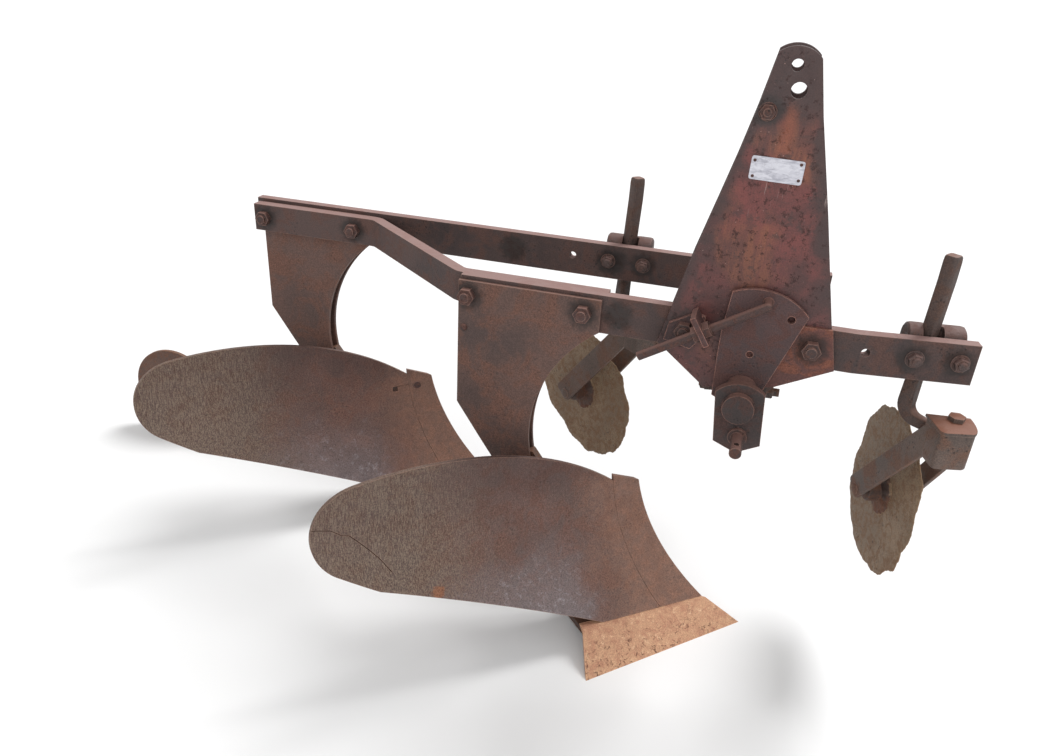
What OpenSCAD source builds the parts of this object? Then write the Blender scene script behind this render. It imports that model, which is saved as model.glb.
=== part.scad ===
// Two-furrow mounted moldboard plough, standing on its shares as it was parked.
// +X is the direction of travel, +Y is the unploughed (left) side, +Z is up.
// z = 0 is the ground, y = 0 the right face of the right beam. Millimetres.

/* [Frame] */
// height of the beam tops above the ground
beam_top = 800; // [795:1:805]
// depth of the two straight beams
beam_h = 76.2; // [74:0.1:78]
// thickness of the two straight beams
beam_t = 22.2; // [20:0.1:24]
// depth of the bent beam between the two bottoms
bent_h = 63.5; // [60:0.1:68]
// thickness of the bent beam
bent_t = 25.4; // [22:0.1:28]
// thickness of the standard plates
plate_t = 7.9; // [6:0.1:9]
// inside radius of the bends in the bent beam
bend_r = 20; // [15:1:24]
// width of one furrow
furrow_w = 304.8; // [300:0.1:310]
// distance from the front bottom back to the rear one
bottom_step = 614; // [608:1:620]

/* [Mast] */
// thickness of the two mast plates
mast_t = 9.5; // [8:0.1:11]
// free width between the two mast plates
mast_gap = 52.3; // [50:0.1:56]
// height of the mast top above the ground
mast_top = 1260; // [1255:1:1268]
// radius of the upper top-link pin hole
link_hole_r = 9.7; // [9:0.1:10.5]
// radius of the lower top-link pin hole
big_hole_r = 12.85; // [12:0.05:13.5]

/* [Hitch] */
// radius of the lower link pins
pin_r = 11.1; // [10.5:0.05:12]
// length of a lower link pin outside its collar
pin_len = 58; // [54:1:64]
// distance between the shoulders of the two lower link pins
pin_spread = 683; // [675:1:690]
// radius of the cross shaft
shaft_r = 25.4; // [24:0.1:27]
// radius of the levelling rod
rod_r = 8.2; // [7:0.1:9]

/* [Bottoms] */
// radius of the hollow face of the moldboard
board_r = 600; // [590:1:610]
// thickness of moldboard and shin
board_t = 8; // [7:0.1:9]
// angle of the cutting edge to the direction of travel
edge_angle = 43.6; // [43:0.1:44.2]
// thickness of the share
share_t = 9; // [8:0.1:10]
// thickness of the landside bar
landside_t = 12; // [10:0.5:13]
// height of the landside bar
landside_h = 95; // [88:1:98]

/* [Coulters] */
// outer radius of a coulter disc
disc_r = 181; // [176:1:184]
// thickness of a coulter disc
disc_t = 5; // [4:0.1:6]
// number of notches round a coulter disc
disc_notches = 12; // [10:1:14]
// depth of the notches
notch_d = 9; // [6:0.5:11]
// width across the flats of the square coulter shank
shank_w = 25.4; // [24:0.1:27]
// distance the disc trails behind its pivot
trail = 178; // [172:1:184]
// height of the disc centre above the ground
disc_z = 397; // [393:1:401]
// radius of the pivot bolt in the coulter head
pivot_r = 9.5; // [9:0.1:10]

/* [Tail wheel] */
// radius of the rolling landside wheel
wheel_r = 131; // [128:1:134]
// thickness of the wheel plate
wheel_t = 9; // [8:0.5:10]

/* [Hidden] */
$fn = 96;
play = 0.3;
run = 0.05;
past = 1;

// the origin: below the middle of the whole plough, in the measures used here
origin_x = -615.04;
origin_y = 143.024;

beam_mid = beam_top - beam_h / 2;
bent_front_y = beam_t + plate_t;
rear_y = furrow_w;
bent_rear_y = furrow_w - plate_t - bent_t;
beam_bottom = beam_top - beam_h;

// beam ends and bends along x
right_beam_x0 = -517;
right_beam_bend_x = 226;
right_beam_x1 = 430;
right_beam_turn = 8.1;
left_beam_x0 = -1150;
left_beam_x1 = 191;
bent_x0 = -1141;
bent_bend1_x = -831;
bent_bend2_x = -537;
bent_x1 = -230;

// standard bolts, measured on the front standard
bolt_r = 9.5;
bolt_hole_r = 9.9;
bolt_head_r = 17;
bolt_head_h = 11;
nut_r = 17.5;
nut_h = 14;
bolt_end = 6;
std_bolt_x = [-501, -269];
std_low_bolts = [[-392, 392], [-352, 318], [-300, 290]];

// mast
mast_x = 36;
mast_right_y = -mast_t;
mast_left_y = mast_gap;
top_hole = [36, 1231];
low_hole = [45, 1194];
tie_hole = [3, 1158];
foot_bolt_x = [149, -77];
foot_bolt_z = 764;

// cross shaft, cranks and pins
shaft_x = 42;
shaft_z = 652;
crank_t = 14;
crank_right_y = -68;
pin_x = 50;
pin_z = 593;
collar_r = 17.5;
collar_t = 7;
pin_right_y = crank_right_y - collar_t;
crank_left_y = pin_right_y + pin_spread - collar_t - crank_t;

// coulter places
front_clamp_x = 361;
front_shank_off = -8;
front_head_turn = -45.5;
front_trail = 104.9;
rear_clamp_x = -242;
rear_shank_off = 2;
rear_head_turn = -57;
rear_trail = 139;
crank_len = 93;
head_z = 631;
shank_top = 945;
elbow_z = 692;
lower_w = 22;
shank_gap = 0.3;

// moldboard frame: local x runs along the board, local y through it
board_w = 415.5;
board_z = 426.9;
landside_y = 118;
seam_z0 = 58.1;
seam_rise = 0.0541;

// moves a finished piece from the measures used here to the plough's own frame
module placed()
    translate([-origin_x, -origin_y, 0])
        children();

// shared helpers

// a plate in the x-z plane from y0 to y0 + t
module plate_y(y0, t)
    translate([0, y0 + t, 0])
        rotate([90, 0, 0])
            linear_extrude(t)
                children();

// a round along y
module round_y(x, z, y0, y1, r)
    translate([x, y0, z])
        rotate([-90, 0, 0])
            cylinder(h = y1 - y0, r = r);

// a hexagon along y
module hex_y(x, z, y0, y1, r)
    translate([x, y0, z])
        rotate([-90, 0, 0])
            cylinder(h = y1 - y0, r = r, $fn = 6);

// a bolt along y, its nut on the face at y0 and its head on the face at y1
module bolt_y(x, z, y0, y1) {
    round_y(x, z, y0 - nut_h - bolt_end, y1 + bolt_head_h / 2, bolt_r);
    hex_y(x, z, y0 - nut_h, y0, nut_r);
    hex_y(x, z, y1, y1 + bolt_head_h, bolt_head_r);
}

module holes_y(places, y0, y1, r)
    for (p = places)
        round_y(p[0], p[1], y0 - past, y1 + past, r);

module to_rear()
    translate([-bottom_step, furrow_w, 0])
        children();

function std_places() = [
    [std_bolt_x[0], beam_mid],
    [std_bolt_x[1], beam_mid]
];

function foot_bolts() = [[foot_bolt_x[0], foot_bolt_z], [foot_bolt_x[1], foot_bolt_z]];

// beams
spare_hole_r = 8;
spare_hole_z = beam_mid + 4;
right_spare_x = 242;
left_spare_x = -362;

module right_beam_plan() {
    dx = right_beam_x1 - right_beam_bend_x;
    translate([right_beam_x0, 0])
        square([right_beam_bend_x - right_beam_x0, beam_t]);
    polygon([
        [right_beam_bend_x - 0.01, 0],
        [right_beam_x1, dx * tan(right_beam_turn)],
        [right_beam_x1 - beam_t * sin(right_beam_turn), dx * tan(right_beam_turn) + beam_t * cos(right_beam_turn)],
        [right_beam_bend_x - beam_t * tan(right_beam_turn / 2), beam_t]
    ]);
}

function beam_y(x) = (x - right_beam_bend_x) * tan(right_beam_turn);

module right_beam()
    color("#3c2d2a") placed()
        difference() {
            translate([0, 0, beam_bottom])
                linear_extrude(beam_h)
                    right_beam_plan();
            holes_y(std_places(), 0, beam_t, bolt_hole_r);
            holes_y(foot_bolts(), 0, beam_t, bolt_hole_r);
            for (x = clamp_bolt_x())
                clamp_frame()
                    round_y(x, clamp_bolt_z, -60, 60, clamp_bolt_r + play);
            translate([right_spare_x, beam_y(right_spare_x), spare_hole_z])
                rotate([0, 0, right_beam_turn])
                    round_y(0, 0, -beam_t, 2 * beam_t, spare_hole_r);
        }

module left_beam()
    color("#3a2c2a") placed()
        difference() {
            translate([left_beam_x0, rear_y, beam_bottom])
                cube([left_beam_x1 - left_beam_x0, beam_t, beam_h]);
            to_rear()
                holes_y(std_places(), 0, beam_t, bolt_hole_r);
            for (x = clamp_bolt_x())
                rear_clamp_frame()
                    round_y(x, clamp_bolt_z, -60, 60, clamp_bolt_r + play);
            round_y(left_spare_x, spare_hole_z, rear_y - past, rear_y + beam_t + past, spare_hole_r);
        }

function arc_points(c, r, a0, a1, n) =
    [for (i = [0 : n]) [c[0] + r * cos(a0 + (a1 - a0) * i / n), c[1] + r * sin(a0 + (a1 - a0) * i / n)]];

module bent_plan() {
    turn = atan2(bent_rear_y - bent_front_y, bent_bend2_x - bent_bend1_x);
    out_r = bend_r + bent_t;
    c2 = [bent_bend2_x + out_r * tan(turn / 2), bent_front_y + out_r];
    c1 = [bent_bend1_x - bend_r * tan(turn / 2), bent_rear_y - bend_r];
    polygon(concat(
        [[bent_x1, bent_front_y]],
        arc_points(c2, out_r, -90, -90 - turn, 8),
        arc_points(c1, bend_r, 90 - turn, 90, 8),
        [[bent_x0, bent_rear_y], [bent_x0, bent_rear_y + bent_t]],
        arc_points(c1, out_r, 90, 90 - turn, 8),
        arc_points(c2, bend_r, -90 - turn, -90, 8),
        [[bent_x1, bent_front_y + bent_t]]
    ));
}

module bent_beam()
    color("#3c2e2b") placed()
        difference() {
            translate([0, 0, beam_mid - bent_h / 2])
                linear_extrude(bent_h)
                    bent_plan();
            holes_y(std_places(), bent_front_y, bent_front_y + bent_t, bolt_hole_r);
            to_rear()
                holes_y(std_places(), -plate_t - bent_t, -plate_t, bolt_hole_r);
        }

// mast

// half widths of the mast at its heights, from the top down
mast_top_w = 41;
mast_top_r = 50;
mast_knee_w = 159;
mast_knee_z = 729;
mast_foot_w = 62;
mast_foot_z = 678;
mast_foot_drop = 26;
mast_eye_r = shaft_r + 1;
tie_r = 6.3;
tie_hole_r = 6.6;

module mast_outline()
    intersection() {
        translate([mast_x, 0])
            polygon([
                [-mast_foot_w, mast_foot_z - mast_foot_drop],
                [mast_foot_w, mast_foot_z],
                [mast_knee_w, mast_knee_z],
                [mast_top_w, mast_top],
                [-mast_top_w, mast_top],
                [-mast_knee_w, mast_knee_z]
            ]);
        union() {
            translate([mast_x, mast_top - mast_top_r])
                circle(r = mast_top_r);
            translate([mast_x - 2 * mast_knee_w, 0])
                square([4 * mast_knee_w, mast_top - mast_top_r]);
        }
    }

module mast_holes(y0) {
    holes_y([top_hole], y0, y0 + mast_t, link_hole_r);
    holes_y([low_hole], y0, y0 + mast_t, big_hole_r);
    holes_y([tie_hole], y0, y0 + mast_t, tie_hole_r);
    holes_y(foot_bolts(), y0, y0 + mast_t, bolt_hole_r);
    holes_y([[shaft_x, shaft_z]], y0, y0 + mast_t, mast_eye_r);
}

module mast_plate_right()
    color("#6e322d") placed()
        difference() {
            plate_y(mast_right_y, mast_t)
                mast_outline();
            mast_holes(mast_right_y);
        }

module mast_plate_left()
    color("#6a302b") placed()
        difference() {
            plate_y(mast_left_y, mast_t)
                mast_outline();
            mast_holes(mast_left_y);
        }

// the doubler in front of the mast's foot
foot_t = 6;
foot_y = mast_right_y - foot_t;
foot_x0 = mast_x - 24;
foot_top = 805;

module mast_foot_plate()
    color("#6e352d") placed()
        difference() {
            plate_y(foot_y, foot_t)
                intersection() {
                    mast_outline();
                    translate([foot_x0, 0])
                        square([2 * mast_knee_w, foot_top]);
                }
            holes_y([[foot_bolt_x[0], foot_bolt_z]], foot_y, foot_y + foot_t, bolt_hole_r);
            holes_y([[shaft_x, shaft_z]], foot_y, foot_y + foot_t, mast_eye_r);
        }

spacer_half = 120;
spacer_h = 50;
tie_tube_r = 12;
tie_nut_r = 13;
tie_nut_h = 9;

module mast_spacers()
    color("#4a2f2b") placed() {
        difference() {
            translate([mast_x - spacer_half, beam_t, beam_mid - spacer_h / 2])
                cube([2 * spacer_half, mast_gap - beam_t, spacer_h]);
            holes_y(foot_bolts(), beam_t, mast_gap, bolt_hole_r);
        }
        difference() {
            round_y(tie_hole[0], tie_hole[1], 0, mast_gap, tie_tube_r);
            round_y(tie_hole[0], tie_hole[1], -past, mast_gap + past, tie_hole_r);
        }
    }

module mast_bolts()
    color("#3a2a26") placed() {
        bolt_y(foot_bolt_x[0], foot_bolt_z, foot_y, mast_gap + mast_t);
        bolt_y(foot_bolt_x[1], foot_bolt_z, mast_right_y - bracket_t, mast_gap + mast_t);
        round_y(tie_hole[0], tie_hole[1], mast_right_y - tie_nut_h - 3, mast_gap + mast_t + tie_nut_h / 2, tie_r);
        hex_y(tie_hole[0], tie_hole[1], mast_right_y - tie_nut_h, mast_right_y, tie_nut_r);
        hex_y(tie_hole[0], tie_hole[1], mast_gap + mast_t, mast_gap + mast_t + tie_nut_h, tie_nut_r);
    }

// levelling gear
sector_t = 8;
sector_y = foot_y - sector_t;
sector_x = 46.4;
sector_z = 748;
sector_r = 116;
stop_holes = [[46, 739, 6], [105, 816, 7]];
rod_y = sector_y - 24;
hook = [61, 843];

module sector_plate()
    color("#4a2f2f") placed()
        difference() {
            plate_y(sector_y, sector_t)
                intersection() {
                    polygon([
                        [-9, 640], [-9.4, 663], [-11, 740], [-10.4, 780], [-1, 870],
                        [149, 870], [107.2, 747.8], [82.3, 676.4], [70, 640]
                    ]);
                    translate([sector_x, sector_z])
                        circle(r = sector_r);
                }
            for (h = stop_holes)
                holes_y([h], sector_y, sector_y + sector_t, h[2]);
            holes_y([hook], sector_y, sector_y + sector_t, rod_r + play);
            holes_y([[shaft_x, shaft_z]], sector_y, sector_y + sector_t, shaft_r + play);
        }

bracket_t = 8;
rod_turn = 32;
lug_t = 10;
lug_w = 58;
lug_at = 107.6;
lug_reach = 20;
lug_low = 22;

// the frame of the rod: from its hook in the sector down to the rear
module rod_frame()
    translate([hook[0], rod_y, hook[1]])
        rotate([0, -(90 + rod_turn), 0])
            children();

module rod_bracket()
    color("#4c3c3c") placed()
        difference() {
            union() {
                plate_y(mast_right_y - bracket_t, bracket_t)
                    polygon([[-112, 740], [-106, 774], [-58, 801], [-42, 795], [-38, 760], [-62, 728]]);
                rod_frame()
                    translate([-lug_low, -lug_reach, lug_at + lug_t])
                        cube([lug_w, mast_right_y - bracket_t / 2 - rod_y + lug_reach, lug_t]);
            }
            rod_frame()
                cylinder(h = rod_len, r = rod_r + 1);
            holes_y([foot_bolts()[1]], mast_right_y - bracket_t, mast_right_y, bolt_hole_r);
        }

rod_len = 250;
rod_nut_r = 16;
rod_nut_h = 11.4;
rod_nut_at = [lug_at + lug_t - rod_nut_h - play, lug_at + 2 * lug_t + play];

module levelling_rod()
    color("#4b3434") placed() {
        rod_frame()
            cylinder(h = rod_len, r = rod_r);
        translate([hook[0], rod_y, hook[1]])
            sphere(r = rod_r);
        round_y(hook[0], hook[1], rod_y, sector_y + sector_t, rod_r);
        for (d = rod_nut_at)
            rod_frame()
                translate([0, 0, d])
                    cylinder(h = rod_nut_h, r = rod_nut_r, $fn = 6);
    }

// cross shaft and cranks
bearing_half = 62;
bearing_below = 44;
hanger_t = 12;
hanger_half = 70;
sleeve_z = 666;
sleeve_r = 30;

module shaft_bearing()
    color("#3d2c2a") placed()
        difference() {
            translate([shaft_x - bearing_half, play, shaft_z - bearing_below])
                cube([2 * bearing_half, mast_gap - 2 * play, beam_bottom - shaft_z + bearing_below - play]);
            round_y(shaft_x, shaft_z, 0, mast_gap, shaft_r + run);
        }

module shaft_hanger()
    color("#3d2c2a") placed()
        difference() {
            plate_y(rear_y + beam_t, hanger_t)
                polygon([
                    [shaft_x - hanger_half, beam_top - 6], [shaft_x + hanger_half, beam_top - 6],
                    [shaft_x + hanger_half, beam_bottom], [shaft_x + bearing_below, shaft_z - bearing_below],
                    [shaft_x - bearing_below, shaft_z - bearing_below], [shaft_x - hanger_half, beam_bottom]
                ]);
            holes_y([[shaft_x, shaft_z]], rear_y + beam_t, rear_y + beam_t + hanger_t, shaft_r + run);
        }

module cross_shaft()
    color("#40302e") placed() {
        round_y(shaft_x, shaft_z, crank_right_y + crank_t, crank_left_y, shaft_r);
        round_y(shaft_x, sleeve_z, crank_right_y + crank_t, sector_y - 0.5, sleeve_r);
    }

// outline of a crank: rounded over the shaft, pointed under the pin
crank_top = [44, 638];
crank_top_r = 60;
crank_low_left = [8, 575];
crank_point = [51, 557];
crank_low_right = [93, 580];
crank_high_x = [-5, 84];

module crank_outline()
    intersection() {
        polygon([
            crank_low_left, crank_point, crank_low_right,
            [crank_high_x[1], crank_top[1] + crank_top_r], [crank_high_x[0], crank_top[1] + crank_top_r]
        ]);
        union() {
            translate(crank_top)
                circle(r = crank_top_r);
            translate([crank_high_x[0], crank_point[1]])
                square([crank_low_right[0] - crank_high_x[0], crank_top[1] - crank_point[1]]);
        }
    }

module crank_plate(y0)
    difference() {
        plate_y(y0, crank_t)
            crank_outline();
        holes_y([[pin_x, pin_z]], y0, y0 + crank_t, pin_r + play);
    }

module right_crank()
    color("#3f2a28") placed() {
        crank_plate(crank_right_y);
        round_y(shaft_x, shaft_z, crank_right_y - boss_t, crank_right_y + crank_t / 2, boss_r);
    }

module left_crank()
    color("#3f2a28") placed()
        crank_plate(crank_left_y);

boss_r = 28.7;
boss_t = 13;
pin_head = 8;
linch_r = 5;
linch_in = 16;

module link_pin(y0, side)
    translate([pin_x, y0, pin_z])
        rotate([side > 0 ? 90 : -90, 0, 0])
            difference() {
                union() {
                    translate([0, 0, -crank_t - collar_t - pin_head])
                        cylinder(h = crank_t + collar_t + pin_head + pin_len, r = pin_r);
                    translate([0, 0, -collar_t])
                        cylinder(h = collar_t, r = collar_r);
                    translate([0, 0, -crank_t - collar_t - pin_head])
                        cylinder(h = pin_head, r = collar_r);
                }
                translate([0, 0, pin_len - linch_in])
                    rotate([90, 0, 0])
                        cylinder(h = 4 * pin_r, r = linch_r, center = true);
            }

module right_link_pin()
    color("#46302d") placed()
        link_pin(pin_right_y, 1);

module left_link_pin()
    color("#46302d") placed()
        link_pin(crank_left_y + crank_t + collar_t, -1);

// bottoms

module board_frame()
    rotate([0, 0, 180 + edge_angle])
        children();

// solid between two radii about the moldboard's axis, behind the axis
module board_band(r0, r1, t0, t1)
    board_frame()
        translate([t0, 0, 0])
            rotate([90, 0, 90])
                linear_extrude(t1 - t0)
                    intersection() {
                        difference() {
                            translate([board_w, board_z])
                                circle(r = r1, $fn = 240);
                            translate([board_w, board_z])
                                circle(r = r0, $fn = 240);
                        }
                        translate([-300, -30])
                            square([board_w, 640]);
                    }

// prism through the moldboard with a t-z outline
module through_board()
    board_frame()
        translate([0, 200, 0])
            rotate([90, 0, 0])
                linear_extrude(520)
                    children();

function seam_z(t) = seam_z0 + seam_rise * t;

module above_seam(gap)
    polygon([
        [-320, seam_z(-320) + gap], [900, seam_z(900) + gap],
        [900, 700], [-320, 700]
    ]);

module seam_disc(gap)
    translate([-588, 381])
        circle(r = 671.5 + gap, $fn = 240);

module right_of_landside()
    translate([-600, -900, -50])
        cube([900, 900 + landside_y, 800]);

// what the board and the share fill, and the open side in front of them
module board_space(gap)
    board_frame()
        translate([-420, 0, 0])
            rotate([90, 0, 90])
                linear_extrude(1300)
                    union() {
                        translate([board_w, board_z])
                            circle(r = board_r + board_t + gap, $fn = 240);
                        polygon(share_below(gap));
                    }

// the share's face rises from share_w0 on the ground to share_w1 at share_top
share_w0 = 11;
share_w1 = -75;
share_top = 75;
share_turn = atan2(share_top, share_w0 - share_w1);
function share_back(z) = share_w0 - share_t / sin(share_turn) - z / tan(share_turn);

function share_below(gap) = [
    [share_back(0) - 2 * gap, -40], [share_back(0) - 2 * gap, 0], [share_back(share_top) - 2 * gap, share_top],
    [-60, share_top + 5], [200, share_top + 5], [200, -40]
];

// the board's outline: three arcs that run into each other at the tail
top_at = [535, -262.6];
top_r = 760.3;
low_at = [-154.1, 1497.5];
low_r = 1469.3;
tail_at = [639.4, 385.85];
tail_r = 103.5;
// where the tail arc meets the other two, a little outside
tail_high = tail_at + 1.2 * tail_r * (tail_at - top_at) / norm(tail_at - top_at);
tail_low = tail_at + 1.2 * tail_r * (tail_at - low_at) / norm(tail_at - low_at);

module moldboard()
    intersection() {
        board_band(board_r, board_r + board_t, -20, 760);
        through_board()
            difference() {
                intersection() {
                    translate(top_at)
                        circle(r = top_r, $fn = 240);
                    translate(low_at)
                        circle(r = low_r, $fn = 360);
                    above_seam(0.5);
                    union() {
                        translate(tail_at)
                            circle(r = tail_r);
                        polygon([[-20, 0], tail_low, tail_at, tail_high, [-20, 600]]);
                    }
                }
                seam_disc(0.5);
            }
    }

module shin()
    intersection() {
        board_band(board_r, board_r + board_t, -160, 100);
        right_of_landside();
        through_board()
            intersection() {
                seam_disc(-0.5);
                above_seam(0.5);
                polygon([[-160, 0], [120, 0], [120, 377], [-160, 266]]);
            }
    }

share_t0 = -185;
share_t1 = 236;

module share()
    union() {
        intersection() {
            board_frame()
                translate([share_t0, 0, 0])
                    rotate([90, 0, 90])
                        linear_extrude(share_t1 - share_t0)
                            intersection() {
                                polygon([
                                    [share_w0, 0], [share_w1, share_top],
                                    [share_back(share_top), share_top], [share_back(0), 0]
                                ]);
                                square([400, 200], center = true);
                            }
            right_of_landside();
            board_frame()
                linear_extrude(200)
                    polygon([[-300, 60], [-300, -200], [205, -200], [202.5, -66], [234.5, 11], [234.5, 60]]);
            through_board()
                difference() {
                    translate([-320, -5])
                        square([1200, 200]);
                    above_seam(-0.5);
                }
        }
        plate_y(landside_y - landside_t, landside_t)
            polygon([[32, 0], [126, 0], [44, 36], [32, 36]]);
    }

module frog() {
    difference() {
        union() {
            plate_y(play, beam_t - 2 * play)
                polygon([
                    [-430, 400], [-352, 430], [-300, 360], [-100, 200], [20, 50], [20, 14],
                    [-230, 14], [-300, 120], [-350, 240]
                ]);
            plate_y(landside_y - landside_t - 12, 12)
                polygon([[-300, 8], [20, 8], [20, 60], [-60, 150], [-300, 92]]);
            translate([-235, beam_t - 2, 14])
                cube([16, landside_y - landside_t - beam_t - 4, 110]);
            translate([-120, beam_t - 2, 14])
                cube([16, landside_y - landside_t - beam_t - 4, 60]);
            intersection() {
                board_band(board_r + board_t + play, board_r + board_t + 14, -60, 220);
                through_board()
                    polygon([[-40, 70], [150, 80], [215, 180], [190, 264], [70, 264], [0, 220]]);
                right_of_landside_frog();
            }
            frog_share_pad();
        }
        board_space(play);
    }
}

module right_of_landside_frog()
    translate([-600, -900, -50])
        cube([900, 900 + landside_y - landside_t, 800]);

module frog_share_pad()
    intersection() {
        translate([-250, -110, 14])
            cube([330, landside_y - landside_t + 110, 14]);
        board_frame()
            translate([-120, -160, 0])
                cube([300, 170, 100]);
    }

module landside(x0)
    difference() {
        plate_y(landside_y - landside_t, landside_t)
            polygon([[x0, 0], [31, 0], [31, landside_h], [x0 + 12, landside_h], [x0, landside_h - 12]]);
        board_space(play);
    }

// outline of a standard plate in x-z
module standard_outline()
    difference() {
        polygon([
            [-519, 792], [-519, 523], [-463, 439], [-345, 268], [-238, 268], [-300, 345],
            [-235, 420], [-235, 792]
        ]);
        intersection() {
            translate([-59.8, 481.4])
                circle(r = 301.3, $fn = 180);
            translate([-400, 380])
                square([300, 348]);
        }
        translate([-354, 370])
            square([200, 120]);
    }

module standard(y0)
    difference() {
        plate_y(y0, plate_t)
            standard_outline();
        board_space(play);
        holes_y(std_places(), y0, y0 + plate_t, bolt_hole_r);
        holes_y(std_low_bolts, y0, y0 + plate_t, bolt_hole_r);
    }

module front_standard_right()
    color("#3f302d") placed()
        standard(-plate_t);

module front_standard_left()
    color("#3f302d") placed()
        standard(beam_t);

module rear_standard_right()
    color("#3f302d") placed()
        to_rear()
            standard(-plate_t);

module rear_standard_left()
    color("#3f302d") placed()
        to_rear()
            standard(beam_t);

module front_standard_bolts()
    color("#35261f") placed() {
        for (x = std_bolt_x)
            bolt_y(x, beam_mid, -plate_t, bent_front_y + bent_t);
        for (p = std_low_bolts)
            bolt_y(p[0], p[1], -plate_t, beam_t + plate_t);
    }

module rear_standard_bolts()
    color("#35261f") placed()
        to_rear() {
            for (x = std_bolt_x)
                bolt_y(x, beam_mid, -plate_t - bent_t, beam_t + plate_t);
            for (p = std_low_bolts)
                bolt_y(p[0], p[1], -plate_t, beam_t + plate_t);
        }

module frog_node()
    difference() {
        frog();
        holes_y(std_low_bolts, -past, beam_t + past, bolt_hole_r);
    }

module front_frog()
    color("#2f2724") placed()
        frog_node();

module rear_frog()
    color("#2f2724") placed()
        to_rear()
            frog_node();

module front_share()
    color("#b58a68") placed()
        share();

module rear_share()
    color("#b58a68") placed()
        to_rear()
            share();

module front_shin()
    color("#6b5148") placed()
        shin();

module rear_shin()
    color("#6b5148") placed()
        to_rear()
            shin();

// crack in the front board's tail, as places along and up the board
crack_path = [[750, 416], [728, 411], [704, 404], [683, 387], [670, 383], [656, 367], [635, 342], [615, 316], [595, 283]];
crack_w = 1.6;

module crack_outline()
    for (i = [0 : len(crack_path) - 2]) {
        step = crack_path[i + 1] - crack_path[i];
        translate(crack_path[i])
            rotate(atan2(step[1], step[0]))
                translate([-crack_w / 2, -crack_w / 2])
                    square([norm(step) + crack_w, crack_w]);
    }

// the rear board has lost a bolt: its square hole, and the crack from there to the seam
lost_bolt = [119, 314];
lost_hole_w = 14;

module lost_bolt_outline() {
    translate([lost_bolt[0] - lost_hole_w / 2, lost_bolt[1] - lost_hole_w / 2])
        square([lost_hole_w, lost_hole_w]);
    translate([60, lost_bolt[1] + lost_hole_w / 2 - crack_w])
        square([lost_bolt[0] - 60, crack_w]);
}

module front_moldboard()
    color("#5f504b") placed()
        difference() {
            moldboard();
            through_board()
                crack_outline();
        }

module rear_moldboard()
    color("#5f504b") placed()
        to_rear()
            difference() {
                moldboard();
                through_board()
                    lost_bolt_outline();
            }

module front_landside()
    color("#55443c") placed()
        landside(-360);

module rear_landside()
    color("#55443c") placed()
        to_rear()
            landside(-520);

// coulters

clamp_bolt_r = 8;
clamp_bolt_z = beam_mid + 2;
clamp_bolt_half = 39;
clamp_half = 57;
clamp_d = 52;
clamp_hump_r = 25;
clamp_saddle_z = 804;
clamp_foot_z = beam_bottom + 4;
clamp_nut_r = 13.5;
clamp_nut_h = 12;
function clamp_bolt_x() = [-clamp_bolt_half, clamp_bolt_half];

// front outline of the clamp: two rounded humps with the shank's saddle between them
module clamp_outline() {
    translate([-clamp_half, clamp_foot_z + clamp_hump_r])
        square([2 * clamp_half, clamp_saddle_z - clamp_foot_z - clamp_hump_r]);
    for (side = [-1, 1])
        translate([side * (clamp_half - clamp_hump_r), clamp_saddle_z])
            circle(r = clamp_hump_r);
    for (side = [-1, 1])
        translate([side * (clamp_half - clamp_hump_r), clamp_foot_z + clamp_hump_r])
            circle(r = clamp_hump_r);
    translate([clamp_hump_r - clamp_half, clamp_foot_z])
        square([2 * (clamp_half - clamp_hump_r), 2 * clamp_hump_r]);
}

// the clamp's own frame: origin on the shank's line, y = 0 on the beam's left face
module clamp_frame()
    translate([front_clamp_x, beam_y(front_clamp_x) + beam_t / cos(right_beam_turn), 0])
        rotate([0, 0, right_beam_turn])
            children();

module rear_clamp_frame()
    translate([rear_clamp_x, rear_y + beam_t, 0])
        children();

shank_d = shank_w * sqrt(2) / 2;
shank_off_y = shank_d + shank_gap;

function front_shank() = [
    front_clamp_x + front_shank_off * cos(right_beam_turn) - shank_off_y * sin(right_beam_turn),
    beam_y(front_clamp_x) + beam_t / cos(right_beam_turn)
        + front_shank_off * sin(right_beam_turn) + shank_off_y * cos(right_beam_turn),
    0
];

function rear_shank() = [rear_clamp_x + rear_shank_off, rear_y + beam_t + shank_off_y, 0];

module clamp_body(off) {
    slot = shank_w + shank_gap;
    difference() {
        union() {
            plate_y(0.2, clamp_d - 0.2)
                clamp_outline();
            for (x = clamp_bolt_x()) {
                round_y(x, clamp_bolt_z, -beam_t - clamp_nut_h - bolt_end, clamp_d + clamp_nut_h / 2, clamp_bolt_r);
                hex_y(x, clamp_bolt_z, -beam_t - clamp_nut_h, -beam_t - 0.2, clamp_nut_r);
                hex_y(x, clamp_bolt_z, clamp_d, clamp_d + clamp_nut_h, clamp_nut_r);
            }
        }
        translate([off, shank_off_y, clamp_foot_z - past])
            rotate([0, 0, 45])
                translate([-slot / 2, -slot / 2, 0])
                    cube([slot, slot, 2 * beam_h]);
    }
}

// shank in its own frame: axis of the upright at the origin, crank toward +x
module shank_body(square_turn)
    difference() {
        union() {
            translate([0, 0, elbow_z])
                rotate([0, 0, 45 + square_turn])
                    translate([-shank_w / 2, -shank_w / 2, 0])
                        cube([shank_w, shank_w, shank_top - elbow_z]);
            translate([0, 0, elbow_z])
                sphere(r = shank_d + 0.6);
            translate([0, 0, elbow_z])
                rotate([0, 90 + elbow_drop(), 0])
                    cylinder(h = crank_len / cos(elbow_drop()), r1 = shank_d - 1, r2 = lower_w / 2);
            translate([crank_len, 0, head_z - drum_h / 2])
                cylinder(h = drum_h, r = drum_r);
        }
        translate([crank_len, 0, head_z - 60])
            cylinder(h = 120, r = pivot_r + run);
    }

drum_r = 26;
drum_h = 56;
function elbow_drop() = atan2(elbow_z - head_z, crank_len);

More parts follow.
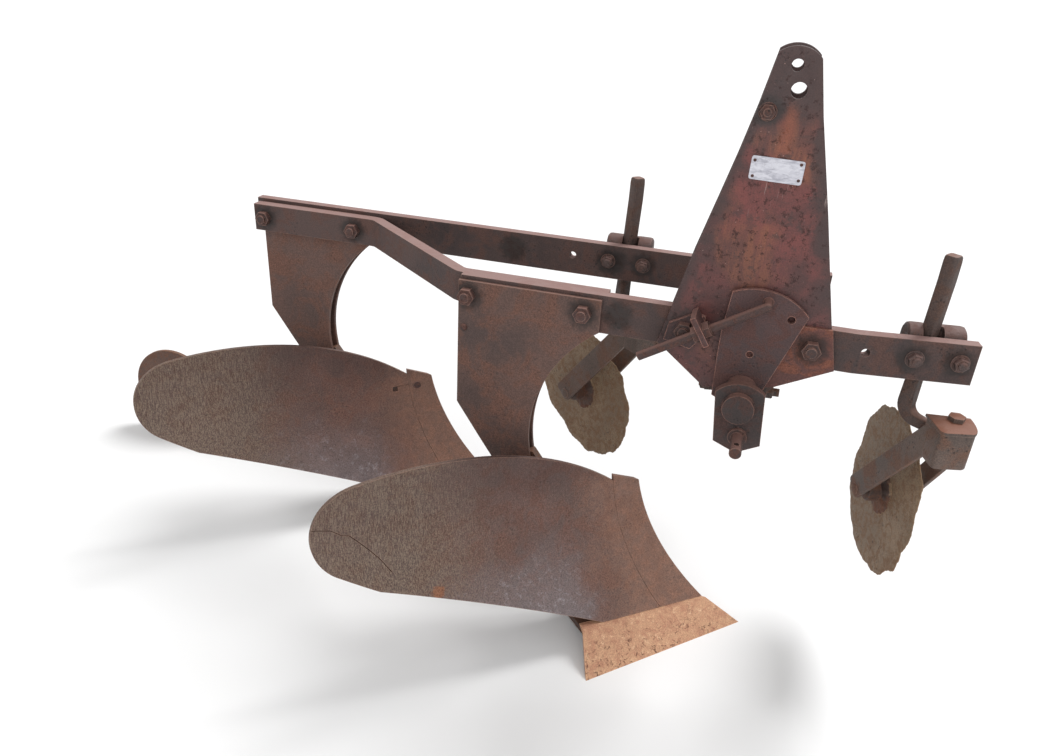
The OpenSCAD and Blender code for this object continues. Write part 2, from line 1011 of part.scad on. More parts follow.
// yoke in its own frame: pivot on the z axis, trailing toward +x
nose_w = 92;
nose_f = 42;
nose_corner = 18;
strap_t = 8;
strap_h = 75;
arm_w = 58;
cap_t = 8;
nose_r = nose_w / 2;
arm_drop = head_z - disc_z;
arm_angle = atan2(arm_drop, trail);
arm_len = norm([trail, arm_drop]);

module yoke_body()
    difference() {
        union() {
            translate([0, 0, head_z - strap_h / 2])
                linear_extrude(strap_h)
                    difference() {
                        nose_outline(nose_w, nose_f, nose_corner, 0);
                        nose_outline(nose_w - 2 * strap_t, nose_f - strap_t, nose_corner - strap_t, past);
                    }
            for (s = [-1, 1])
                yoke_arm(s);
            for (z = [head_z + strap_h / 2 - cap_t, head_z - strap_h / 2])
                translate([0, 0, z])
                    linear_extrude(cap_t)
                        nose_outline(nose_w - strap_t, nose_f - strap_t / 2, nose_corner - strap_t / 2, 12);
        }
        translate([0, 0, head_z - 100])
            cylinder(h = 200, r = pivot_r + play);
        translate([trail, -100, disc_z])
            rotate([-90, 0, 0])
                cylinder(h = 200, r = axle_r + play);
    }

axle_r = 10;

// plan of the nose: a rounded end f in front of the pivot, open to +x
module nose_outline(w, f, r, back) {
    translate([-f, r - w / 2])
        square([f + back, w - 2 * r]);
    translate([r - f, -w / 2])
        square([f - r + back, w]);
    for (s = [-1, 1])
        translate([r - f, s * (w / 2 - r)])
            circle(r = r);
}

module yoke_arm(s)
    plate_y(s > 0 ? nose_r - strap_t : -nose_r, strap_t)
        union() {
            polygon([
                [-0.01, head_z + strap_h / 2],
                [4, head_z + strap_h / 2],
                [trail + arm_w / 2 * sin(arm_angle), disc_z + arm_w / 2 * cos(arm_angle)],
                [trail - arm_w / 2 * sin(arm_angle), disc_z - arm_w / 2 * cos(arm_angle)],
                [-0.01, head_z - strap_h / 2]
            ]);
            translate([trail, disc_z])
                circle(r = arm_w / 2);
        }

module pivot_body() {
    cap = head_z + strap_h / 2;
    translate([0, 0, head_z - strap_h / 2 - 14])
        cylinder(h = strap_h + 22, r = pivot_r);
    translate([0, 0, cap])
        rotate([0, 0, 20])
            cylinder(h = 10, r = 15, $fn = 6);
    translate([0, 0, head_z - strap_h / 2 - 10])
        cylinder(h = 10, r = 15, $fn = 6);
}

module axle_body()
    translate([trail, 0, disc_z]) {
        rotate([-90, 0, 0])
            translate([0, 0, -nose_r - 8])
                cylinder(h = 2 * nose_r + 16, r = axle_r);
        rotate([-90, 0, 0])
            translate([0, 0, -nose_r - 8])
                cylinder(h = 8, r = 15, $fn = 6);
        rotate([-90, 0, 0])
            translate([0, 0, nose_r])
                cylinder(h = 8, r = 15, $fn = 6);
    }

module disc_body()
    translate([trail, 0, disc_z])
        rotate([-90, 0, 0])
            difference() {
                union() {
                    translate([0, 0, -disc_t / 2])
                        difference() {
                            cylinder(h = disc_t, r = disc_r, $fn = 180);
                            for (i = [0 : disc_notches - 1])
                                rotate([0, 0, i * 360 / disc_notches])
                                    translate([disc_r + 40 - notch_d, 0, -past])
                                        cylinder(h = disc_t + 2 * past, r = 40);
                        }
                    translate([0, 0, -nose_r + strap_t + 1])
                        cylinder(h = 2 * (nose_r - strap_t - 1), r = 24);
                    translate([0, 0, -10])
                        cylinder(h = 20, r = 48);
                }
                translate([0, 0, -60])
                    cylinder(h = 120, r = axle_r + run);
            }

module front_clamped()
    translate(front_shank())
        rotate([0, 0, front_head_turn])
            children();

module rear_clamped()
    translate(rear_shank())
        rotate([0, 0, rear_head_turn])
            children();

function head_of(shank, turn) = [
    shank[0] + crank_len * cos(turn),
    shank[1] + crank_len * sin(turn),
    0
];

module front_trailing()
    translate(head_of(front_shank(), front_head_turn))
        rotate([0, 0, front_trail])
            children();

module rear_trailing()
    translate(head_of(rear_shank(), rear_head_turn))
        rotate([0, 0, rear_trail])
            children();

module front_coulter_clamp()
    color("#3a2c29") placed()
        clamp_frame()
            clamp_body(front_shank_off);

module rear_coulter_clamp()
    color("#3a2c29") placed()
        rear_clamp_frame()
            clamp_body(rear_shank_off);

module front_coulter_shank()
    color("#4a3b36") placed()
        front_clamped()
            shank_body(right_beam_turn - front_head_turn);

module rear_coulter_shank()
    color("#4a3b36") placed()
        rear_clamped()
            shank_body(-rear_head_turn);

module front_coulter_yoke()
    color("#6f4a35") placed()
        front_trailing()
            yoke_body();

module rear_coulter_yoke()
    color("#6f4a35") placed()
        rear_trailing()
            yoke_body();

module front_pivot_bolt()
    color("#5f3d2d") placed()
        front_trailing()
            pivot_body();

module rear_pivot_bolt()
    color("#5f3d2d") placed()
        rear_trailing()
            pivot_body();

module front_coulter_axle()
    color("#4a3830") placed()
        front_trailing()
            axle_body();

module rear_coulter_axle()
    color("#4a3830") placed()
        rear_trailing()
            axle_body();

module front_coulter_disc()
    color("#7d6a52") placed()
        front_trailing()
            disc_body();

module rear_coulter_disc()
    color("#7d6a52") placed()
        rear_trailing()
            disc_body();

// tail wheel

wheel_x = -1566;
wheel_y = furrow_w + landside_y;

arm_t = 14;
arm_y = wheel_y - landside_t - 5 - arm_t;

module tail_wheel_arm()
    color("#3c2d2a") placed() {
        plate_y(arm_y, arm_t)
            union() {
                polygon([
                    [-1010, 18], [-1010, 82], [-1140, 86],
                    [wheel_x, wheel_r + 26], [wheel_x, wheel_r - 26], [-1140, 30]
                ]);
                translate([wheel_x, wheel_r])
                    circle(r = 26);
            }
        plate_y(arm_y + arm_t / 2, wheel_y - landside_t - arm_y - arm_t / 2)
            polygon([[-1010, 18], [-1010, 82], [-1125, 82], [-1125, 18]]);
        round_y(wheel_x, wheel_r, arm_y - 6, wheel_y + 8, 12);
    }

module tail_wheel()
    color("#3a2a24") placed()
        difference() {
            union() {
                round_y(wheel_x, wheel_r, wheel_y - wheel_t, wheel_y, wheel_r);
                round_y(wheel_x, wheel_r, wheel_y - 16, wheel_y + 4, 30);
            }
            round_y(wheel_x, wheel_r, wheel_y - 40, wheel_y + 20, 12 + run);
        }

right_beam();
left_beam();
bent_beam();
mast_plate_right();
mast_plate_left();
mast_foot_plate();
mast_spacers();
mast_bolts();
sector_plate();
rod_bracket();
levelling_rod();
shaft_bearing();
shaft_hanger();
cross_shaft();
right_crank();
left_crank();
right_link_pin();
left_link_pin();
front_standard_right();
front_standard_left();
front_standard_bolts();
front_frog();
front_share();
front_shin();
front_moldboard();
front_landside();
rear_standard_right();
rear_standard_left();
rear_standard_bolts();
rear_frog();
rear_share();
rear_shin();
rear_moldboard();
rear_landside();
front_coulter_clamp();
front_coulter_shank();
front_coulter_yoke();
front_pivot_bolt();
front_coulter_axle();
front_coulter_disc();
rear_coulter_clamp();
rear_coulter_shank();
rear_coulter_yoke();
rear_pivot_bolt();
rear_coulter_axle();
rear_coulter_disc();
tail_wheel_arm();
tail_wheel();
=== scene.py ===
# Looks for a rusted two-furrow mounted plough: a finish for every solid, the bare identification
# plate, small fasteners and a dark ribbon of painted shade inside two cracks, and finer shapes that are
# drawn again in place of the imported mast plates, coulters (bar, clamp, head and disc) and shaft bearing.
# Lengths are in metres, in the frame of the imported model: +X is the direction of
# travel, +Y the unploughed side and +Z up, with the ground at z = 0.

import math
import re

import bmesh
import bpy
from mathutils import Matrix, Vector


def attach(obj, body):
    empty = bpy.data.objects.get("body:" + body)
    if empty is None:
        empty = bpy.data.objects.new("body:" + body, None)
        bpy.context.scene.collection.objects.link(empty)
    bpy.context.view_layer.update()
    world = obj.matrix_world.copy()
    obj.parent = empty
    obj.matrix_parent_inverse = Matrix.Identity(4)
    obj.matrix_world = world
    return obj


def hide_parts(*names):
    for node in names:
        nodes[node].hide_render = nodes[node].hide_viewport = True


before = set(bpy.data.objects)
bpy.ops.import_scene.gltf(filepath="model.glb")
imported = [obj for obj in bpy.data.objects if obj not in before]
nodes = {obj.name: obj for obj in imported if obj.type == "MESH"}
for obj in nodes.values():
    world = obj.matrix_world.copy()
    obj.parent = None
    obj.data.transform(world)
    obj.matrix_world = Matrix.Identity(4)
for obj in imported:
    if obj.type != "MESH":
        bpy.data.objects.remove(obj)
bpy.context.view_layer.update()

PHOTO_WIDTH, FOCAL_PIXELS = 1062, 835.03

BOTTOM_STEP = 0.614  # the rear bottom stands this far behind the front one
FURROW_WIDTH = 0.3048  # and this far to the unploughed side
EDGE_ANGLE = 43.6  # between a board's lower edge and the landside, degrees
BOARD_RADIUS = 0.600  # of a board's hollow face
BOARD_AXIS = (0.4155, 0.4269)  # where that face's axis lies: beside the board, above the ground
ORIGIN = (0.61504, -0.143024)  # the right beam's near face below the front board, in the model's frame
MAST_FACE_Y = ORIGIN[1] - 0.0095

# On the mast and the beams, as x and z in the measures of ORIGIN.
TIE_BOLT = (0.003, 1.158)
MAST_MIDDLE = 0.036  # x of the mast's middle line
MAST_LOW_Z, MAST_LOW_HALF = 0.729, 0.159  # where its edges start, and its half width there
MAST_TOP_Z, MAST_TOP_HALF = 1.26, 0.041


def tint(red, green, blue):
    """A colour as a paint chip shows it, 0 to 255, as the linear colour that a shader takes."""
    def channel(v):
        v = v / 255.0
        return v / 12.92 if v <= 0.04045 else ((v + 0.055) / 1.055) ** 2.4
    return (channel(red), channel(green), channel(blue), 1.0)


class Bench:
    """A node tree with short ways to add and join nodes."""

    def __init__(self, tree):
        self.tree = tree

    def node(self, kind, **settings):
        n = self.tree.nodes.new(kind)
        for name, value in settings.items():
            setattr(n, name, value)
        return n

    def feed(self, socket, value):
        if isinstance(value, bpy.types.NodeSocket):
            self.tree.links.new(value, socket)
        else:
            socket.default_value = value

    def noise(self, vector, scale, detail=6.0, roughness=0.6, distortion=0.0):
        n = self.node("ShaderNodeTexNoise")
        self.feed(n.inputs["Vector"], vector)
        self.feed(n.inputs["Scale"], scale)
        self.feed(n.inputs["Detail"], detail)
        self.feed(n.inputs["Roughness"], roughness)
        self.feed(n.inputs["Distortion"], distortion)
        return n.outputs["Fac"]

    def cells(self, vector, scale):
        n = self.node("ShaderNodeTexVoronoi")
        self.feed(n.inputs["Vector"], vector)
        self.feed(n.inputs["Scale"], scale)
        return n.outputs["Distance"]

    def maths(self, operation, a, b=0.0):
        n = self.node("ShaderNodeMath", operation=operation)
        self.feed(n.inputs[0], a)
        self.feed(n.inputs[1], b)
        return n.outputs[0]

    def vectors(self, operation, a, b=(0.0, 0.0, 0.0)):
        n = self.node("ShaderNodeVectorMath", operation=operation)
        self.feed(n.inputs[0], a)
        self.feed(n.inputs[1], b)
        return n.outputs

    def plus(self, a, b):
        return self.maths("ADD", a, b)

    def minus(self, a, b):
        return self.maths("SUBTRACT", a, b)

    def times(self, a, b):
        return self.maths("MULTIPLY", a, b)

    def centred(self, noise, amount):
        """A noise made to swing about zero, by up to half of amount each way."""
        return self.times(self.minus(noise, 0.5), amount)

    def window(self, value, low, high, out_low=0.0, out_high=1.0):
        """A smooth step from out_low to out_high as the value goes from low to high."""
        n = self.node("ShaderNodeMapRange", interpolation_type="SMOOTHSTEP")
        self.feed(n.inputs["Value"], value)
        for name, v in (("From Min", low), ("From Max", high), ("To Min", out_low), ("To Max", out_high)):
            self.feed(n.inputs[name], v)
        return n.outputs["Result"]

    def fade(self, value, low, high):
        """The smooth step the other way: 1 below low and 0 above high."""
        return self.window(value, low, high, 1.0, 0.0)

    def blend(self, share, a, b):
        n = self.node("ShaderNodeMix", data_type="RGBA")
        colours = [s for s in n.inputs if s.type == "RGBA"]
        self.feed(n.inputs["Factor"], share)
        self.feed(colours[0], a)
        self.feed(colours[1], b)
        return [s for s in n.outputs if s.type == "RGBA"][0]

    def over(self, colour, mask, amount, new):
        """The colour with a new one laid over it where the mask is 1, as strongly as amount."""
        return self.blend(self.times(mask, amount), colour, new)

    def split(self, vector):
        n = self.node("ShaderNodeSeparateXYZ")
        self.feed(n.inputs[0], vector)
        return n.outputs

    def stretched(self, vector, scale=(1, 1, 1), place=(0, 0, 0), turn=(0, 0, 0)):
        n = self.node("ShaderNodeMapping")
        self.feed(n.inputs["Vector"], vector)
        n.inputs["Location"].default_value = place
        n.inputs["Rotation"].default_value = turn
        n.inputs["Scale"].default_value = scale
        return n.outputs["Vector"]


def new_group(name, inputs, outputs):
    """A node group that takes a Vector and the named floats of inputs, and gives floats."""
    tree = bpy.data.node_groups.new(name, "ShaderNodeTree")
    tree.interface.new_socket("Vector", in_out="INPUT", socket_type="NodeSocketVector")
    for title, value in inputs.items():
        kind = "NodeSocketFloat" if isinstance(value, float) else "NodeSocketVector"
        s = tree.interface.new_socket(title, in_out="INPUT", socket_type=kind)
        s.default_value = value
    for title in outputs:
        tree.interface.new_socket(title, in_out="OUTPUT", socket_type="NodeSocketFloat")
    b = Bench(tree)
    return b, b.node("NodeGroupInput").outputs, b.node("NodeGroupOutput").inputs


def weathering_group():
    """Broad tone, rust blotches, grain and pits of old steel, all from 0 to 1."""
    gives = ("Broad", "Blotch", "Grain", "Pits", "Height")
    takes = {"Blotch Scale": 26.0, "Grain Scale": 420.0, "Pit Scale": 120.0}
    b, take, give = new_group("weathering", takes, gives)
    v = take["Vector"]
    broad = b.window(b.noise(v, 5.0, 3.0, 0.5, 0.4), 0.32, 0.68)
    blotch = b.window(b.noise(v, take["Blotch Scale"], 9.0, 0.66, 0.6), 0.42, 0.62)
    grain = b.noise(v, take["Grain Scale"], 4.0, 0.7)
    where = b.window(b.noise(v, 14.0, 3.0, 0.6), 0.46, 0.66)
    pits = b.times(b.fade(b.cells(v, take["Pit Scale"]), 0.12, 0.34), where)
    height = b.minus(b.plus(b.times(grain, 0.5), b.times(blotch, 0.35)), b.times(pits, 0.8))
    for title, value in zip(gives, (broad, blotch, grain, pits, height)):
        b.feed(give[title], value)
    return b.tree


def edge_wear_group():
    """1 along worn corners, broken up by a noise."""
    b, take, give = new_group("edge_wear", {"Width": 0.003}, ["Wear"])
    rounded = b.node("ShaderNodeBevel", samples=6)
    b.feed(rounded.inputs["Radius"], take["Width"])
    flat = b.node("ShaderNodeNewGeometry").outputs["Normal"]
    alike = b.vectors("DOT_PRODUCT", rounded.outputs["Normal"], flat)["Value"]
    broken = b.window(b.noise(take["Vector"], 60.0, 5.0, 0.6), 0.3, 0.6)
    b.feed(give["Wear"], b.times(b.fade(alike, 0.82, 0.985), broken))
    return b.tree


def run_streaks_group():
    """Thin runs straight down a surface, from 0 to 1."""
    b, take, give = new_group("run_streaks", {"Fineness": 1.0}, ["Streaks"])
    layers = []
    for squeeze, scale, *rest in ((0.10, 230.0, 5.0, 0.72, 0.2), (0.35, 300.0, 3.0, 0.7)):
        drawn = b.stretched(take["Vector"], scale=(1.0, 1.0, squeeze))
        layers.append(b.noise(drawn, b.times(take["Fineness"], scale), *rest))
    both = b.plus(b.times(layers[0], 0.65), b.times(layers[1], 0.35))
    b.feed(give["Streaks"], b.window(both, 0.43, 0.58))
    return b.tree


def stain_group():
    """A soft ragged spot round one bolt, seen along y: 1 at its centre, 0 outside its radius."""
    b, take, give = new_group("bolt_stain", {"Centre": (0.0, 0.0, 0.0), "Radius": 0.03}, ["Stain"])
    gap = b.vectors("SUBTRACT", take["Vector"], take["Centre"])[0]
    flat = b.vectors("MULTIPLY", gap, (1.0, 0.0, 1.0))[0]
    reach = b.vectors("LENGTH", flat)["Value"]
    ragged = b.times(b.noise(take["Vector"], 75.0, 5.0, 0.65), 0.9)
    share = b.minus(b.maths("DIVIDE", reach, take["Radius"]), ragged)
    b.feed(give["Stain"], b.fade(share, 0.05, 0.55))
    return b.tree


EDGE_WIDTH = 0.002
WEATHERING = weathering_group()
EDGE_WEAR = edge_wear_group()
RUN_STREAKS = run_streaks_group()
BOLT_STAIN = stain_group()


def start_finish(name, metallic):
    """A material with its Principled shader, its object coordinates and a bench to work on."""
    material = bpy.data.materials.new(name)
    material.use_nodes = True
    b = Bench(material.node_tree)
    shader = material.node_tree.nodes["Principled BSDF"]
    shader.inputs["Metallic"].default_value = metallic
    place = b.node("ShaderNodeTexCoord").outputs["Object"]
    return material, b, shader, place


def use_group(b, tree, **values):
    n = b.node("ShaderNodeGroup", node_tree=tree)
    for title, value in values.items():
        b.feed(n.inputs[title.replace("_", " ")], value)
    return n.outputs


def start_steel(name, metallic, **scales):
    """A started finish with the weathering and the worn corners of old steel."""
    material, b, shader, place = start_finish(name, metallic)
    weathering = use_group(b, WEATHERING, Vector=place, **scales)
    return material, b, shader, place, weathering, use_group(b, EDGE_WEAR, Vector=place, Width=EDGE_WIDTH)["Wear"]


def speckled(b, colour, grain, low=0.70, high=1.30):
    """The colour made darker and lighter by the grain."""
    tone = b.node("ShaderNodeVectorMath", operation="SCALE")
    b.feed(tone.inputs[0], colour)
    b.feed(tone.inputs["Scale"], b.window(grain, 0.34, 0.66, low, high))
    return tone.outputs[0]


def stained(b, place, colour, spots, dark, amount=0.75):
    """The colour with a dark spot round each bolt of spots, given as x, z and radius in the measures of ORIGIN."""
    for x, z, radius in spots:
        centre = (ORIGIN[0] + x, 0.0, z)
        mask = use_group(b, BOLT_STAIN, Vector=place, Centre=centre, Radius=radius)["Stain"]
        colour = b.over(colour, mask, amount, dark)
    return colour


def close_finish(b, shader, colour, rough, height, bump):
    b.feed(shader.inputs["Base Color"], colour)
    b.feed(shader.inputs["Roughness"], rough)
    relief = b.node("ShaderNodeBump")
    relief.inputs["Strength"].default_value = 1.0
    relief.inputs["Distance"].default_value = bump
    b.feed(relief.inputs["Height"], height)
    b.feed(shader.inputs["Normal"], relief.outputs["Normal"])


def upward(b):
    """1 where a face looks up: where dust and light rust settle, and where a painted highlight lightens the tops.
    """
    normal = b.node("ShaderNodeNewGeometry").outputs["Normal"]
    return b.window(b.split(normal)["Z"], 0.35, 0.9)


def rusted_steel(name, body, dark, rust, dust_and_highlight, metallic=0.15, blotch=26.0, bump=0.0006, dust_and_highlight_share=0.45, wear=0.5,
                 worn=(150, 120, 108), spots=(), pits=0.75):
    """Old steel: a body colour, darker stains, rust blotches, dust and a painted highlight on what looks up, and
    worn corners.
    """
    material, b, shader, place = start_finish(name, metallic)
    w = use_group(b, WEATHERING, Vector=place, Blotch_Scale=blotch)
    edge = use_group(b, EDGE_WEAR, Vector=place)["Wear"]
    colour = b.blend(w["Broad"], tint(*body), tint(*dark))
    colour = b.over(colour, w["Blotch"], 0.75, tint(*rust))
    colour = b.over(speckled(b, colour, w["Grain"]), w["Pits"], pits, tint(24, 18, 16))
    colour = stained(b, place, colour, spots, tint(30, 23, 21))
    # Dust on what looks up, with a painted highlight that lightens the tops.
    colour = b.over(colour, upward(b), dust_and_highlight_share, tint(*dust_and_highlight))
    colour = b.over(colour, edge, wear, tint(*worn))
    close_finish(b, shader, colour, b.window(w["Blotch"], 0.0, 1.0, 0.62, 0.85), w["Height"], bump)
    return material


def mast_paint():
    """Faded red paint, gone dark toward the edges and blotched with rust."""
    material, b, shader, place, w, edge = start_steel("mast_paint", 0.0, Blotch_Scale=34.0, Pit_Scale=170.0)
    wide = use_group(b, EDGE_WEAR, Vector=place, Width=0.030)["Wear"]
    spot = b.split(place)
    x, z = b.minus(spot["X"], ORIGIN[0] + MAST_MIDDLE), spot["Z"]
    cloud = b.noise(place, 12.0, 8.0, 0.62, 0.5)
    colour = b.blend(b.window(cloud, 0.38, 0.60), tint(106, 52, 48), tint(72, 39, 37))
    runs = use_group(b, RUN_STREAKS, Vector=place, Fineness=0.28)["Streaks"]
    where = b.window(b.noise(place, 8.0, 6.0, 0.58, 0.3), 0.50, 0.66)
    orange = b.times(where, b.window(runs, 0.0, 1.0, 0.3, 0.75))
    colour = b.blend(orange, colour, tint(124, 72, 50))
    flaked = b.window(b.noise(place, 95.0, 8.0, 0.74), 0.545, 0.60)
    colour = b.over(colour, flaked, 0.75, tint(50, 33, 31))
    spread = b.window(b.noise(place, 26.0, 9.0, 0.72), 0.54, 0.64)
    colour = b.over(colour, spread, 0.7, tint(56, 37, 35))

    # Darker toward the top, the foot and both sloping edges. The darker foot is painted shade, where the real plate
    # stands upright below its lean.
    ragged = b.centred(cloud, 0.16)
    height = b.plus(z, ragged)
    top = b.window(height, 1.09, 1.17)
    # Painted shade on the foot, below the height where the real plate leans back.
    low = b.times(b.fade(height, 0.80, 0.96), 0.45)
    span = b.window(z, MAST_LOW_Z, MAST_TOP_Z, MAST_LOW_HALF, MAST_TOP_HALF)
    side = b.maths("DIVIDE", b.plus(b.maths("ABSOLUTE", x), b.times(ragged, 0.35)), span)
    shade = b.maths("MAXIMUM", b.times(top, 0.9), b.times(b.window(side, 0.60, 0.92), 0.85))
    shade = b.maths("MAXIMUM", b.maths("MAXIMUM", shade, b.times(wide, 0.7)), low)
    colour = b.blend(shade, colour, tint(54, 38, 37))

    # A rusty run from the eye's lower hole down to the plate, and pale drips below the plate.
    streak = b.plus(x, b.centred(b.noise(place, 30.0, 5.0, 0.6), 0.018))
    streak = b.fade(b.maths("ABSOLUTE", b.minus(streak, 0.004)), 0.002, 0.016)
    streak = b.times(streak, b.times(b.window(z, 1.092, 1.10), b.fade(z, 1.150, 1.185)))
    colour = b.over(colour, streak, 0.5, tint(140, 76, 50))
    drips = b.window(b.noise(b.stretched(place, scale=(1.0, 1.0, 0.07)), 170.0, 4.0, 0.6), 0.60, 0.68)
    drips = b.times(drips, b.times(b.window(z, 0.97, 1.045), b.fade(z, 1.046, 1.05)))
    colour = b.over(colour, drips, 0.4, tint(196, 176, 170))

    pale = b.window(b.noise(place, 210.0, 3.0, 0.6), 0.69, 0.73)
    colour = b.over(colour, pale, 0.45, tint(180, 146, 136))
    colour = b.over(speckled(b, colour, w["Grain"], 0.8, 1.2), w["Pits"], 0.7, tint(30, 22, 21))
    spots = [TIE_BOLT + (0.034,), (0.149, 0.764, 0.045), (-0.077, 0.764, 0.05)]
    colour = stained(b, place, colour, spots, tint(34, 25, 23))
    colour = b.over(colour, edge, 0.5, tint(160, 118, 108))
    close_finish(b, shader, colour, b.window(flaked, 0.0, 1.0, 0.52, 0.85), w["Height"], 0.0005)
    return material


def board_finish(name, centre, scrapes=()):
    """A moldboard, shin or landside: tan runs toward the tail, grey where the soil polished it, red rust in front.

    Scrapes are rusty sores on its face, given as a place along it, a height and a radius.
    """
    material, b, shader, place, w, edge = start_steel(name, 0.25, Blotch_Scale=18.0, Grain_Scale=360.0)
    local = b.stretched(place, place=(-centre[0], -centre[1], 0.0))
    spot = b.split(b.stretched(local, turn=(0.0, 0.0, math.radians(180.0 - EDGE_ANGLE))))
    along, up = spot["X"], spot["Z"]

    # Where along and up the board each look lies, with ragged limits.
    ripple = b.centred(b.noise(place, 7.0, 5.0, 0.6, 0.3), 0.22)
    reach = b.plus(along, ripple)
    tail = b.window(reach, 0.28, 0.62)
    front = b.fade(reach, 0.02, 0.20)
    middle = b.times(b.window(reach, 0.12, 0.24), b.fade(reach, 0.42, 0.60))
    low = b.fade(b.plus(up, b.times(ripple, 0.8)), 0.10, 0.30)
    # A darker band along the board's top, fading toward the tail: painted shade where the face curls over.
    painted_top_shade = b.times(b.window(b.plus(up, ripple), 0.30, 0.44), b.window(tail, 0.0, 1.0, 0.75, 0.2))
    polish = b.times(middle, low)

    colour = b.blend(w["Broad"], tint(98, 72, 66), tint(82, 62, 58))
    colour = b.over(colour, w["Blotch"], 0.55, tint(112, 74, 62))
    colour = b.over(colour, polish, 0.75, tint(112, 103, 105))
    scuff = b.window(b.noise(place, 70.0, 6.0, 0.75, 0.8), 0.52, 0.66)
    colour = b.over(colour, b.times(polish, scuff), 0.7, tint(146, 138, 142))
    runs = use_group(b, RUN_STREAKS, Vector=place, Fineness=2.3)["Streaks"]
    colour = b.over(colour, tail, 0.60, tint(82, 65, 58))
    colour = b.blend(b.times(runs, b.window(tail, 0.0, 1.0, 0.14, 0.70)), colour, tint(138, 121, 104))
    rust = b.window(b.noise(place, 46.0, 6.0, 0.68, 0.4), 0.42, 0.62)
    colour = b.over(colour, front, 0.70, tint(126, 96, 82))
    colour = b.over(colour, b.times(front, rust), 0.4, tint(144, 102, 82))
    # Painted shade along the board's top.
    colour = b.over(colour, painted_top_shade, 0.6, tint(62, 46, 44))
    for along_at, up_at, radius in scrapes:
        du, dv = b.minus(along, along_at), b.minus(up, up_at)
        gap = b.maths("SQRT", b.plus(b.times(du, du), b.times(dv, dv)))
        torn = b.minus(b.maths("DIVIDE", gap, radius), b.times(b.noise(place, 120.0, 5.0, 0.7), 1.2))
        colour = b.over(colour, b.fade(torn, 0.05, 0.45), 0.7, tint(140, 88, 58))
    colour = b.over(speckled(b, colour, w["Grain"]), w["Pits"], 0.45, tint(44, 32, 30))
    colour = b.over(colour, edge, 0.6, tint(176, 138, 118))
    rough = b.minus(b.window(w["Blotch"], 0.0, 1.0, 0.55, 0.75), b.times(polish, 0.18))
    close_finish(b, shader, colour, rough, w["Height"], 0.0003)
    return material


def share_finish():
    """Bright orange rust with pale scaled patches, a redder band under the seam and deep pits at the lower edge."""
    material, b, shader, place, w, edge = start_steel("share_rust", 0.1, Blotch_Scale=30.0, Pit_Scale=150.0)
    height = b.plus(b.split(place)["Z"], b.centred(b.noise(place, 16.0, 5.0, 0.6, 0.3), 0.10))
    low = b.fade(height, 0.012, 0.055)
    high = b.window(height, 0.052, 0.074)
    colour = b.blend(w["Broad"], tint(202, 158, 124), tint(190, 148, 117))
    colour = b.blend(b.window(b.noise(place, 42.0, 10.0, 0.80, 0.0), 0.42, 0.62), colour, tint(174, 127, 101))
    scale = b.window(b.noise(place, 60.0, 10.0, 0.82, 0.0), 0.53, 0.64)
    colour = b.over(colour, scale, 0.8, tint(218, 180, 146))
    holes = b.window(b.noise(place, 95.0, 5.0, 0.7, 1.0), 0.57, 0.65)
    deep = b.times(holes, low)
    colour = b.over(speckled(b, colour, w["Grain"], 0.8, 1.2), deep, 0.8, tint(92, 52, 38))
    colour = b.over(colour, high, 0.55, tint(136, 82, 66))
    colour = b.over(colour, edge, 0.6, tint(222, 180, 146))
    close_finish(b, shader, colour, 0.82, b.minus(w["Height"], b.times(deep, 1.5)), 0.0007)
    return material


def bare_plate_finish():
    """The identification plate: bleached light alloy with grey smears and nothing on it."""
    material, b, shader, place = start_finish("bare_plate", 0.35)
    w = use_group(b, WEATHERING, Vector=place, Blotch_Scale=90.0, Grain_Scale=900.0, Pit_Scale=400.0)
    smear = b.noise(b.stretched(place, scale=(0.25, 1.0, 1.0)), 160.0, 5.0, 0.7, 0.4)
    colour = b.blend(b.window(smear, 0.40, 0.64), tint(196, 196, 204), tint(158, 158, 168))
    colour = b.over(colour, w["Blotch"], 0.35, tint(214, 214, 220))
    colour = b.over(colour, w["Pits"], 0.6, tint(96, 84, 82))
    close_finish(b, shader, colour, b.window(smear, 0.3, 0.7, 0.45, 0.62), w["Height"], 0.0002)
    return material


CLAMP_PLACES = [(x, 0.764, 0.036) for x in (0.322, 0.400, -0.281, -0.203)]
STANDARD_PLACES = [(x, 0.762, 0.04) for x in (-0.501, -0.269, -1.115, -0.883)]
